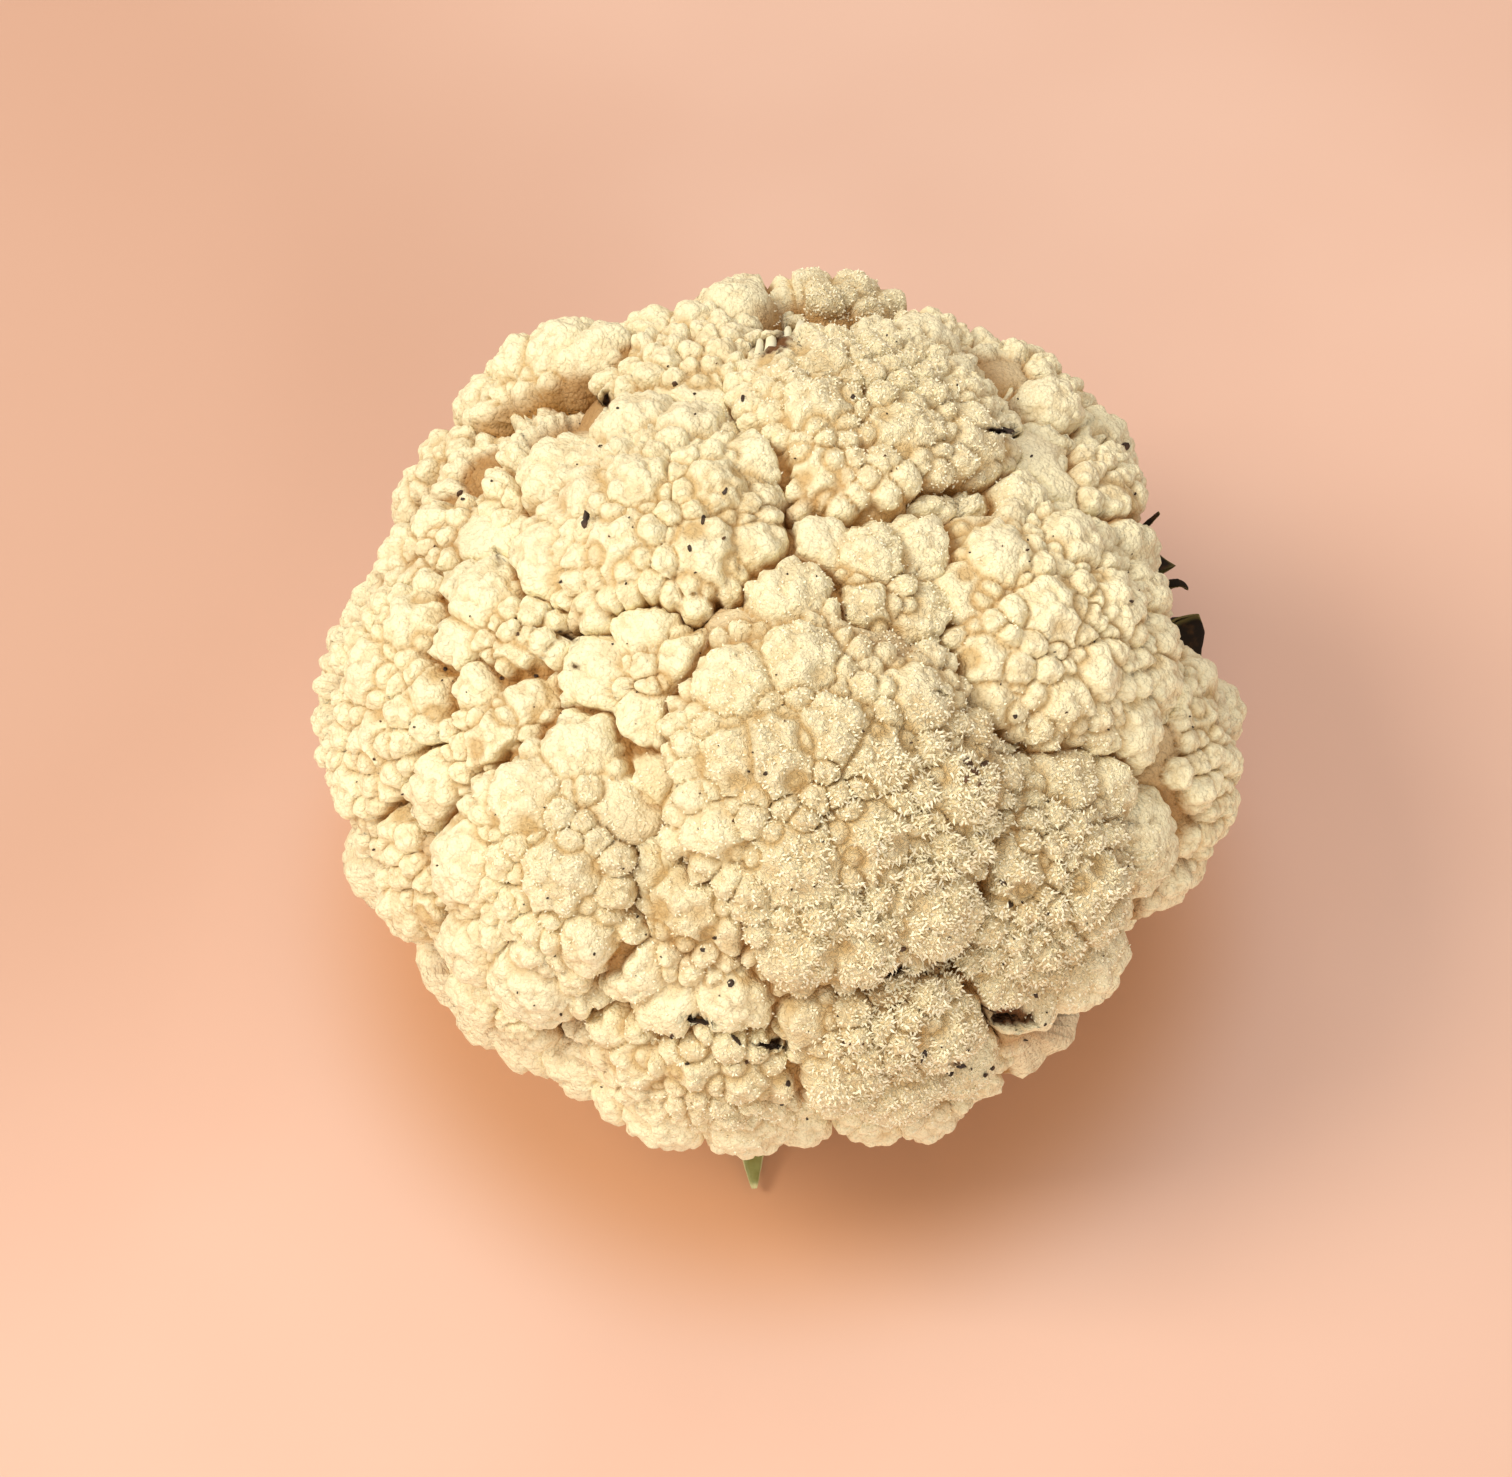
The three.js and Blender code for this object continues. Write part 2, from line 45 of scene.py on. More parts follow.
# The head, in millimetres, as in the part's source but for CREASE, which is deeper here
HEAD_RADIUS = np.array([79.0, 79.0, 61.0])
HEAD_MIDDLE = np.array([0.0, 0.0, 56.0])
BULGE = 0.3
BULGE_MOST = 7.5
EDGE = 0.4
CREASE = 5.0
CLEFT = 8.0
STEM_RADIUS = 22.0
UNDERSIDE = 31.0
STEM_TOP = 35.0
CORE_DEPTH = 12.0
BRANCHES = 13
BRANCH_RADIUS = 7.2
BRANCH_TAPER = 1.6
CUP_MIDDLE = 0.3

# The viewpoint that the seen florets are laid out from
EYE_ELEVATION = math.radians(60)
EYE_DISTANCE = 480.0
TOWARDS_EYE = np.array([0, -math.cos(EYE_ELEVATION), math.sin(EYE_ELEVATION)])
PICTURE_UP = np.array([0, math.sin(EYE_ELEVATION), math.cos(EYE_ELEVATION)])
PICTURE_ACROSS = np.array([1.0, 0, 0])
PIXELS_PER_MM = 5.35
PICTURE_MIDDLE = (780.0, 715.0)
PICTURE_SIZE = (1512, 1477)
SENSOR_WIDTH = 36.0

# Each floret that shows: its rise in mm, then its lobes as (pixel x, pixel y, radius in mm)
SEEN_FLORETS = {
    "top_left": [8, (568, 376, 8.5), (472, 386, 8), (605, 360, 5), (536, 374, 6)],
    "top_middle_left": [
        1, (662, 362, 8), (650, 385, 8), (690, 330, 6.5), (718, 392, 8.5), (700, 350, 7)],
    "top_nub": [-1, (763, 413, 4.8)],
    "top_ridge": [9, (745, 287, 5.5), (735, 325, 6.5)],
    "top_middle": [8, (785, 300, 6.5), (815, 285, 6), (850, 305, 8), (882, 292, 6.5)],
    "above_middle": [
        4, (860, 345, 9), (785, 378, 5), (825, 385, 6.5), (820, 430, 8), (822, 490, 9.5),
        (893, 455, 9.5), (950, 460, 9), (912, 372, 8), (945, 410, 6.5)],
    "top_right_ridge": [4, (935, 330, 8.5), (955, 370, 6), (915, 300, 5.5)],
    "top_right": [
        6, (1002, 395, 8), (990, 343, 6), (1045, 365, 7.5), (1080, 405, 6.5), (1045, 415, 5)],
    "right_upper": [1.5, (1074, 468, 9.5), (1092, 512, 7), (1108, 452, 6), (1098, 515, 6)],
    "right_upper_nub": [-2, (1005, 455, 5.5)],
    "right_inner": [0, (957, 530, 8), (922, 522, 5)],
    "right_middle": [
        2, (1045, 500, 7), (1010, 512, 5.5), (990, 580, 8.5), (1055, 560, 7), (1105, 560, 7.5),
        (1035, 625, 8), (1090, 620, 8), (1121, 602, 6.3), (1132, 650, 6.5), (980, 665, 8.5),
        (1045, 700, 8), (1105, 725, 8), (1130, 680, 7), (985, 702, 6.5), (1080, 675, 6)],
    "middle_right": [
        1, (820, 568, 7.5), (868, 572, 6.5), (915, 570, 7.5), (905, 635, 9), (860, 618, 6)],
    "middle_nub": [-3, (782, 548, 6)],
    "middle_left": [
        3, (645, 450, 8), (690, 450, 6.5), (748, 480, 6.5), (570, 490, 7.5), (572, 575, 9),
        (600, 508, 6), (640, 560, 9.5), (703, 562, 7.5), (750, 562, 7), (712, 505, 6.5),
        (645, 505, 7)],
    "middle_left_foot": [-1, (712, 612, 6.5)],
    "left_upper_inner": [-1, (500, 440, 7), (505, 490, 7), (525, 525, 5.5), (548, 428, 5)],
    "left_upper": [4.5, (478, 432, 7), (408, 485, 7.5), (453, 481, 4.5), (435, 450, 6)],
    "left_above_edge": [0, (460, 545, 7.5), (425, 570, 7), (405, 540, 6), (440, 590, 6)],
    "left_pit": [-5, (518, 562, 5.5), (545, 608, 5.5)],
    "left_inner": [2, (505, 620, 8.5), (480, 652, 7), (530, 662, 6.5), (475, 605, 6)],
    "left_edge": [
        3, (365, 625, 9), (345, 680, 8), (345, 740, 8.5), (386, 782, 7.5), (400, 680, 8),
        (430, 640, 7), (410, 740, 8.5), (450, 700, 6.5)],
    "left_lower_inner": [
        0, (540, 715, 7.5), (508, 742, 6), (465, 785, 8), (435, 815, 7), (490, 700, 6)],
    "lower_left": [
        3, (590, 765, 8.5), (500, 860, 9.5), (545, 805, 8.5), (575, 870, 9), (550, 955, 9.5),
        (595, 925, 7), (500, 930, 8)],
    "middle_lower_left": [1, (615, 690, 8.5), (690, 680, 7.5), (655, 640, 6.5), (655, 722, 6.5)],
    "low_nub": [0, (665, 778, 8), (690, 802, 5.5), (645, 802, 5)],
    "low_pit": [-4, (632, 850, 5.5)],
    "middle": [
        4, (790, 615, 8), (745, 700, 8.5), (800, 680, 8.5), (780, 760, 9.5), (745, 762, 7.5),
        (830, 740, 8), (905, 712, 7.5), (870, 765, 8), (938, 790, 9), (800, 850, 10.5),
        (860, 830, 9), (915, 890, 10), (800, 925, 9.5), (855, 930, 8), (722, 830, 6)],
    "low_middle_left": [
        1, (655, 865, 7), (700, 895, 9), (650, 945, 8.5), (735, 975, 8.5), (680, 985, 7.5),
        (740, 920, 6)],
    "low_middle": [
        2, (925, 1010, 9), (840, 1040, 10), (890, 1060, 8.5), (810, 1000, 7), (950, 1050, 6.5)],
    "lower_right": [
        2, (1040, 790, 9), (1110, 840, 9), (1000, 865, 8.5), (1060, 880, 9), (1060, 945, 9.5),
        (985, 965, 7), (1078, 902, 6.5), (1020, 985, 6.5), (1085, 790, 7)],
    "right_pit": [-1.5, (975, 755, 7.5), (978, 788, 6)],
    "right_edge": [
        2, (1198, 719, 6.5), (1175, 692, 6.3), (1170, 730, 7), (1212, 745, 6), (1178, 800, 8.5),
        (1180, 874, 7.5), (1210, 800, 6), (1165, 850, 6.5)],
    "left_lower_edge": [
        2, (405, 858, 8.5), (382, 842, 7), (430, 895, 7), (447, 899, 5), (420, 830, 6)],
    "bottom_left": [2, (466, 965, 8), (535, 1030, 8.5), (492, 1008, 7.5), (500, 980, 7)],
    "bottom_middle": [
        0, (600, 1040, 8.5), (675, 1080, 9.5), (745, 1090, 9), (636, 1083, 6), (710, 1125, 7),
        (760, 1128, 7), (797, 1098, 6.5),
        (650, 1042, 7), (700, 1048, 7), (745, 1060, 6), (625, 1020, 5), (780, 1065, 5)],
    "bottom_right": [
        0, (840, 1088, 5), (876, 1100, 6), (926, 1099, 6.5), (968, 1096, 6.5), (993, 1076, 6.5)],
    "bottom_far_right": [2, (1008, 1050, 6.5), (1040, 1025, 6)],
}

# Rings of hidden florets: height in degrees, first and last compass angle, count, reach and rise
# in mm
HIDDEN_RINGS = [
    (32, 40, 152, 5, 15, 0),
    (6, 60, 172, 6, 15, 0),
    (-24, 54, 194, 7, 14, 0),
    (-24, -20, 4, 2, 12, 0),
    (-33, 212, 328, 5, 11, 0),
    (-2, 20, 44, 2, 13, -4),
    (-23, 20, 38, 2, 12, -2),
]
BACK_FLORETS = 11  # the first of them are the back's, and the others the rim's
LOBES_A_FLORET = 7
LOBE_SIZE = 0.42
LOBE_VARIES = 0.12
LOBE_SPREAD = 0.74
GOLDEN_ANGLE = math.pi * (3 - math.sqrt(5))

# The buds on each lobe, in millimetres or as shares of the lobe
BUD_RADIUS = 1.8
BUD_VARIES = 0.9
BUD_SINKS = 0.5  # how far a bud's middle lies below the lobe's surface, as a share of its radius
BUD_SPACING = 1.35  # between the middles of neighbouring buds, as a share of their radius
BUD_VALLEY = 0.3  # how far below the lobe's surface the valleys between buds may go
BUD_TOP = 0.9  # how far above it a high bud's top is

# What is left of the leaves. Places are (compass angle in degrees, distance from the axis, height),
# and sizes are (half width, half thickness) at even steps between the first place and the last.
LEAF_REMAINS = {
    "leaf_base_front": [{
        "places": [(264, 20, 6.5), (263.4, 40, 6.5), (263.8, 58, 5), (266.2, 73.5, 2.4)],
        "sizes": [(9, 3), (8.4, 2.6), (6.2, 2), (4, 1.5), (0.5, 0.7)],
        "cup": 0.3,
    }],
    "leaf_base_right": [{
        "places": [(4, 20, 8), (8, 60, 4), (17.5, 88.6, 7), (23.4, 87.4, 34)],
        "sizes": [(9, 3.4), (7.5, 3.2), (5.6, 3), (4.6, 2.9)],
        "cup": 0.25,
    }],
    "leaf_torn_right": [
        {
            "places": [(50, 20, 8), (46, 60, 4), (38, 93, 4), (35, 91, 22)],
            "sizes": [(9, 3), (8.5, 2.2), (9.5, 1.4), (9, 1)],
            "cup": 0.2,
        },
        {
            "places": [(35, 90.5, 14), (34.5, 90.5, 22), (34, 91.5, 27), (33.4, 92, 33)],
            "sizes": [(3.5, 1), (3, 0.9), (2.2, 0.8), (0.5, 0.4)],
            "cup": 0.2,
        },
        {
            "places": [(33.4, 89, 12), (31, 89, 27), (29, 92, 36), (28.6, 95, 29)],
            "sizes": [(2.4, 1.3), (1.3, 0.8), (1.1, 0.7), (0.5, 0.4)],
            "cup": 0.2,
        },
        {
            "places": [(38.8, 89.8, 14), (39.5, 90.5, 22), (39, 95, 27), (38, 99.4, 33.5)],
            "sizes": [(2.4, 1), (1.6, 0.9), (1, 0.6), (0.4, 0.4)],
            "cup": 0.2,
        },
    ],
}
BLADE_SIDES = 28
BLADE_STEPS = 50
LEAF_SCARS = 11  # round the trunk

# Lobes are a little wider here than in the solids, so that they meet closely
LOBE_WIDENS = 1.12
LOBE_ADDS = 0.6
BUDS_ROOM = 1.3  # and lower, to make room for the buds on them

# Small lobes that fill the room between the large ones, in mm
FILLER_RADIUS = 3.3
FILLER_VARIES = 1.2
FILLER_SPACING = 2.0
FILLER_DOWN = 2.3  # how much lower their tops are
FILLER_DOWN_VARIES = 1.2
FILLER_REACH = 1.1  # how far out they go, as a share of the floret's reach
FILLER_NEAR_AT_EDGE = 1.5  # the same where the head's outline lies, seen from the viewpoint
FILLER_NEAR = 10.0  # how far outside a large lobe of their own floret they still stand

# The clefts between florets, in mm
CREASE_SIDE = 0.5
CREASE_SINK = 0.9  # how much deeper the creases between lobes are
BUDS_FROM_CREASE = 0.8  # how far from a crease the buds reach about two thirds of their height
CLEFT_SIDE = 1.0  # how near to its neighbour a floret starts to draw in
CLEFT_SINK = 2.4  # how far it draws in where they meet
BUD_STANDS_OUT = 0.9  # how far buds stand out of the lobe they cover
# Skin sunken below its floret's round form is painted with shade, from SUNKEN_FROM to SUNKEN_FULL
SUNKEN_FROM = 2.2  # how far below its floret's round form the skin starts to look sunken
SUNKEN_FULL = 6.0

# Gaps in the head, sunk into the skin and painted dark brown as shade: (pixel x, pixel y, half width,
# half height, turn, depth in mm)
DARK_GAPS = [
    (606, 398, 4, 7, 0, 4), (1010, 1018, 20, 7, 4, 6), (698, 1021, 17, 3, 12, 4),
    (768, 1047, 14, 3, 2, 4), (960, 1065, 8, 3, 0, 3), (897, 972, 15, 3.5, -32, 4),
    (1000, 430, 15, 3, 8, 3.5), (575, 668, 3, 9, -25, 3), (566, 636, 10, 2.5, 30, 2.5),
    (497, 560, 3, 11, -10, 2.5), (940, 693, 8, 2.5, 30, 2.5), (745, 600, 3, 8, 20, 2),
    (774, 342, 22, 9, -18, 3.5),
]

# Thin dark sheets laid in the slits and gaps as painted shade, and dark specks: (pixel x, pixel y,
# half width and half height in pixels, turn in degrees)
SHADE_SLITS = [
    (698, 1021, 18, 2.6, 12), (768, 1047, 14, 2.6, 2), (960, 1066, 6, 2, 0), (897, 972, 10, 2, -32),
    (1000, 430, 12, 2, 8), (606, 400, 3, 6, 10), (1010, 1018, 22, 5, 4), (736, 1040, 6, 2, 50),
]
SPECKS = [
    (585, 521, 3.5, 8, 12), (460, 494, 3, 3.5, 0), (463, 499, 2, 1.5, 0), (1125, 446, 5, 3.5, 40),
    (968, 762, 5, 3, 30), (975, 771, 3, 5, -20), (981, 785, 3, 3, 0), (966, 779, 3, 4, 10),
    (984, 764, 2.5, 4, 60), (731, 983, 3.5, 3.5, 0), (924, 1056, 3, 7, 20), (788, 1084, 2.5, 3, 0),
    (853, 397, 2, 2, 0), (675, 384, 2.5, 2.5, 0), (743, 398, 2, 4, 0), (518, 634, 1.6, 1.6, 0),
    (703, 950, 2.2, 2.2, 0), (747, 1062, 2.5, 2.5, 0), (1015, 716, 2, 2, 0), (502, 678, 3, 1.6, 0),
    (536, 676, 2.5, 1.6, 0), (445, 669, 2.2, 2.2, 0), (766, 774, 2, 2, 0), (715, 938, 2, 2, 0),
    (950, 1073, 4, 3, 20), (985, 1075, 2, 2, 0), (1036, 995, 2, 2, 0), (992, 1068, 2, 2.4, 0),
    (672, 1036, 2, 2, 0), (1138, 1001, 2, 2, 0), (903, 949, 4, 2.5, -30), (1003, 883, 4, 2.5, 20),
    (1010, 905, 3, 3, 0), (725, 492, 2, 4, 30), (703, 520, 2, 5, 10), (690, 548, 2, 3, 0),
]
SCATTERED_SPECKS = 150
SPECKS_SPREAD = (430, 410)  # in pixels either side of the picture's middle

# Pale stalks in a gap at the top: (pixel x and y of the foot, pixel x and y of the top), and how
# high above the dome their foot, middle and top are, in mm
GAP_STALKS = [
    (756, 361, 760, 340), (769, 358, 771, 333), (784, 350, 788, 327), (796, 343, 801, 322),
]
STALK_HEIGHTS = (2.5, 5, 3.5)
STALK_BEND = 2  # to the right, in pixels

# How finely the florets are divided, in faces along an edge for each mm of a floret's reach
SEEN_FINENESS = 1.45
HIDDEN_FINENESS = 1.05
LEAST_DEPTH = 8.0  # of the middle of a floret's skin below its top, in mm
CAP_SHARE = 1.5  # above 1, the faces crowd towards the top of a floret

# Where the florets are fuzzy: (pixel x, pixel y, radius in pixels, strength)
FUZZY_PLACES = [
    (920, 820, 110, 1.0), (860, 900, 120, 0.8), (925, 1010, 90, 0.9), (800, 760, 110, 0.45),
    (1050, 880, 120, 0.75), (1060, 800, 90, 0.5), (1040, 960, 80, 0.7), (870, 400, 110, 0.45),
    (850, 310, 70, 0.5), (950, 450, 70, 0.4), (900, 600, 90, 0.35), (790, 640, 70, 0.3),
    (700, 900, 90, 0.35), (580, 860, 90, 0.35), (880, 1060, 90, 0.75), (740, 1090, 90, 0.4),
    (930, 1100, 70, 0.5), (640, 1060, 80, 0.25),
]

# Where the curd is rough and brownish: (pixel x, pixel y, radius in pixels, strength)
WORN_PLACES = [
    (722, 500, 34, 1.0), (745, 560, 22, 0.7), (1060, 985, 40, 0.7), (1150, 870, 40, 0.5),
    (985, 705, 28, 0.6), (975, 775, 32, 0.8), (1020, 905, 30, 0.6), (870, 640, 40, 0.3),
    (640, 480, 40, 0.35), (930, 880, 60, 0.35), (800, 1010, 40, 0.5), (660, 900, 40, 0.3),
]

# The dark specks, and the thin dark sheets of painted shade in the gaps, in mm
SPECK_THICKNESS = 0.22
SPECK_DEPTH = 0.35
SPECK_LEVEL = 1.5  # a scale's rim lies within this of its middle, in depth

# The fine hairs, in mm, and where none grow: an attribute of the skin and its limit
HAIR_LENGTH = 0.9
HAIR_WIDTH = 0.21
HAIR_BEND = 0.4  # as a share of the length
HAIR_LEAN = 1.0  # the most, in radians
HAIR_SIZES = (0.55, 1.35)
HAIRS_PER_MM2 = 2.5
HAIRS_WHERE = [
    ("height", "GREATER_THAN", -3.5), ("cleft", "LESS_THAN", 0.35), ("crease", "LESS_THAN", 0.3),
    ("gap", "LESS_THAN", 0.3),
]

# The trunk's leaf scars: width in radians, height in mm
SCAR_SIZE = (0.42, 3.2)

# Finishes, as linear colours
CREAM = (0.96, 0.88, 0.59)
CREAM_GREYER = (0.90, 0.81, 0.56)
# Painted shade: tan for the creases between lobes, buds, granules and filaments of the curd
CREASE_SHADE_TAN = (0.58, 0.37, 0.13)
# Painted shade: darker tan for sunken skin and the clefts where florets meet
CLEFT_SHADE_TAN = (0.42, 0.20, 0.04)
# Painted shade: dark brown in the gaps of the curd and on the core where it shows between florets
GAP_SHADE_BROWN = (0.16, 0.06, 0.012)
WORN_TAN = (0.62, 0.47, 0.24)
HAIR_CREAM = (0.98, 0.93, 0.72)
HAIR_GREYER = (0.95, 0.87, 0.63)
# Dark specks, and the painted shade laid in the slits and gaps
SPECK_AND_SHADE_BROWN = (0.035, 0.016, 0.006)
SPECK_AND_SHADE_PALER = (0.12, 0.05, 0.015)
CORE_CREAM = (0.84, 0.76, 0.50)
STEM_GREEN = (0.62, 0.66, 0.36)
STEM_PALE = (0.86, 0.84, 0.62)
LEAF_OLIVE = (0.22, 0.22, 0.055)
LEAF_OLIVE_PALER = (0.30, 0.31, 0.10)
LEAF_EDGE = (0.62, 0.60, 0.30)
# Near black: a withered leaf, painted darker still for the shade it lies in
LEAF_WITHERED_SHADED = (0.012, 0.007, 0.003)
LEAF_BROWN = (0.10, 0.045, 0.012)
LEAF_DARK_EDGE = (0.16, 0.13, 0.04)
FLOOR_COLOUR = (0.74, 0.47, 0.36)
FLOOR_PALER = (0.78, 0.52, 0.41)
FLOOR_SHADED = (0.56, 0.32, 0.22)
# Painted warm shadow on the floor round the head
FLOOR_WARM_SHADOW = (0.66, 0.33, 0.16)

# The stage, in metres: where painted shade and a painted warm shadow round the head lie on the
# floor, and each light's place, width, watts and colour
FLOOR_HALF = 1.5
SHADE_PLACE = (-0.25, 0.12, 0)
SHADE_REACH = (0.26, 0.14)
WARM_SHADOW_PLACE = (0.0, -0.005, 0)
WARM_SHADOW_REACH = (0.104, 0.07)
ROOM_COLOUR = (1.0, 0.90, 0.83, 1)
ROOM_STRENGTH = 0.45
LIGHTS = {
    "window left": [(-1.0, -0.05, 1.2), 0.6, 14.0, (1.0, 0.93, 0.80)],
    "soft top": [(0.0, 0.3, 1.4), 1.0, 6.5, (1.0, 0.96, 0.92)],
    "soft front": [(0.0, -1.2, 0.6), 0.7, 6.5, (1.0, 0.94, 0.84)],
}


def chance(n):
    """A repeatable number from 0 to 1 for each n."""
    s = math.sin(n * 12.9898 + 4.1414) * 43758.5453
    return s - math.floor(s)


def unit(v):
    return v / np.linalg.norm(v)


# Laying out the florets
def point_seen(x, y, height):
    """The point of the dome, swollen by height, that shows at a pixel of the picture."""
    eye = EYE_DISTANCE * TOWARDS_EYE
    target = PICTURE_UP * (PICTURE_MIDDLE[1] - y) / PIXELS_PER_MM
    target[0] = (x - PICTURE_MIDDLE[0]) / PIXELS_PER_MM
    size = HEAD_RADIUS + height
    start = eye / size
    step = (target - eye) / size
    a = step @ step
    b = start @ step
    inside = b * b - a * (start @ start - 1)
    t = (-b - math.sqrt(max(inside, 0))) / a
    return unit(start + step * t) * size + HEAD_MIDDLE


def point_at(compass, height):
    """The point of the dome at a compass angle and a height angle, in degrees."""
    a = math.radians(compass)
    h = math.radians(height)
    way = np.array([math.cos(h) * math.cos(a), math.cos(h) * math.sin(a), math.sin(h)])
    return way * HEAD_RADIUS + HEAD_MIDDLE


def bulge_of(reach):
    return min(BULGE * reach, BULGE_MOST)


def body_of(middle, out, reach, rise):
    """The ball that a floret's lobes stand on, as (middle, radius)."""
    top = rise + bulge_of(reach) - CREASE
    sag = max(top + CLEFT + reach * reach / (2 * HEAD_RADIUS[0]), 0.3 * reach)
    radius = (reach * reach + sag * sag) / (2 * sag)
    return middle + out * (top - radius), radius


def seen_floret(rise, lobes):
    lobes = [(x, y, LOBE_WIDENS * radius + LOBE_ADDS) for x, y, radius in lobes]
    on_dome = [point_seen(x, y, 0) for x, y, _ in lobes]
    middle = np.mean(on_dome, axis=0)
    reach = max(np.linalg.norm(p - middle) + EDGE * r for p, (_, _, r) in zip(on_dome, lobes))
    out = unit(middle - HEAD_MIDDLE)
    balls = []
    for p, (x, y, radius) in zip(on_dome, lobes):
        share = np.linalg.norm(p - middle) / reach
        height = rise + bulge_of(reach) * (1 - share * share) - radius - BUDS_ROOM
        balls.append((point_seen(x, y, height), radius))
    return {
        "middle": middle, "out": out, "reach": reach, "top": rise + bulge_of(reach),
        "body": body_of(middle, out, reach, rise), "lobes": balls, "seen": True,
        "fillers": fillers_of(middle, out, reach, rise),
    }


def fillers_of(middle, out, reach, rise):
    """The small lobes between a floret's large ones, spread as seeds are over a sunflower."""
    across = unit(np.cross([0.2, 0.1, 1], out))
    up = np.cross(out, across)
    count = int((reach / FILLER_SPACING) ** 2)
    balls = []
    for i in range(count):
        share = math.sqrt((i + 0.5) / count) * FILLER_REACH
        angle = i * GOLDEN_ANGLE + middle[0]
        ways = [chance(i * 7 + middle[0] + k) - 0.5 for k in (0.1, 0.2, 0.3, 0.4)]
        aside = reach * share * math.cos(angle) + ways[0] * FILLER_SPACING
        along = reach * share * math.sin(angle) + ways[1] * FILLER_SPACING
        v = middle + across * aside + up * along - HEAD_MIDDLE
        radius = FILLER_RADIUS + FILLER_VARIES * ways[2]
        height = rise + bulge_of(reach) * (1 - share * share) - FILLER_DOWN
        size = HEAD_RADIUS + height + FILLER_DOWN_VARIES * ways[3] - radius
        balls.append((v / np.linalg.norm(v / size) + HEAD_MIDDLE, radius))
    return balls


def keep_own_fillers(florets):
    """Leaves each floret only the small lobes that stand nearest to its own large ones."""
    owners = np.concatenate([[i] * len(floret["lobes"]) for i, floret in enumerate(florets)])
    middles = np.array([middle for floret in florets for middle, _ in floret["lobes"]])
    radii = np.array([radius for floret in florets for _, radius in floret["lobes"]])
    for i, floret in enumerate(florets):
        kept = []
        for middle, radius in floret["fillers"]:
            apart = np.linalg.norm(middles - middle, axis=1) - radii
            nearest = apart.argmin()
            facing = unit(middle - HEAD_MIDDLE) @ TOWARDS_EYE
            at_edge = -0.15 < facing < 0.35
            most = FILLER_NEAR_AT_EDGE if at_edge else FILLER_NEAR
            if owners[nearest] == i and apart[nearest] < most:
                kept.append((middle, radius))
        floret["fillers"] = kept


def hidden_floret(compass, height, reach, rise, seed):
    middle = point_at(compass, height)
    out = unit(middle - HEAD_MIDDLE)
    across = unit(np.cross([0, 0, 1], out))
    up = np.cross(out, across)
    balls = []
    for i in range(LOBES_A_FLORET):
        share = math.sqrt((i + 0.3) / LOBES_A_FLORET)
        angle = i * GOLDEN_ANGLE + seed * 2.1
        radius = reach * (LOBE_SIZE + LOBE_VARIES * chance(seed * 31 + i))
        side = LOBE_SPREAD * reach * share
        point = middle + across * side * math.cos(angle) + up * side * math.sin(angle)
        point = point + out * (rise + bulge_of(reach) * (1 - share * share) - radius - BUDS_ROOM)
        balls.append((point, radius))
    return {
        "middle": middle, "out": out, "reach": reach, "top": rise + bulge_of(reach),
        "body": body_of(middle, out, reach, rise), "lobes": balls, "seen": False,
        "fillers": fillers_of(middle, out, reach, rise),
    }


def hidden_florets():
    florets = []
    for ring, (height, first, last, count, reach, rise) in enumerate(HIDDEN_RINGS):
        for i in range(count):
            seed = ring * 17 + i
            compass = first + (last - first) * i / (count - 1) + 6 * (chance(seed) - 0.5)
            tilt = height + 7 * (chance(seed + 0.5) - 0.5)
            size = reach * (0.93 + 0.14 * chance(seed + 0.7))
            florets.append(hidden_floret(compass, tilt, size, rise, seed))
    return florets


def buds_on(lobe, floret, seed):
    """The small balls that cover the outer side of a lobe."""
    middle, radius = lobe
    root = floret["middle"] - floret["out"] * 0.6 * floret["reach"]
    out = unit(unit(middle - root) + 0.6 * floret["out"])
    across = unit(np.cross([0.3, 0.2, 1], out))
    up = np.cross(out, across)
    size = BUD_RADIUS * (0.5 + 0.5 * min(1.0, radius / 7))
    far = radius - BUD_SINKS * size
    count = int(2 * math.pi * far ** 2 * 1.25 / (BUD_SPACING * size) ** 2)
    buds = []
    for i in range(count):
        drop = 1.25 * (i + 0.4) / count
        z = 1 - drop
        ring = math.sqrt(max(1 - z * z, 0))
        angle = i * GOLDEN_ANGLE + seed * 1.7
        wobble = np.array([chance(seed * 91 + i * 3 + k) - 0.5 for k in range(3)])
        way = unit(across * ring * math.cos(angle) + up * ring * math.sin(angle) + out * z
                   + 0.25 * wobble)
        bud = size + BUD_VARIES * size / BUD_RADIUS * (chance(seed * 57 + i) - 0.5)
        depth = far + 0.5 * (chance(seed + i * 7) - 0.5)
        buds.append((middle + way * depth, bud))
    return buds


# Meshes
GEODESICS = {}


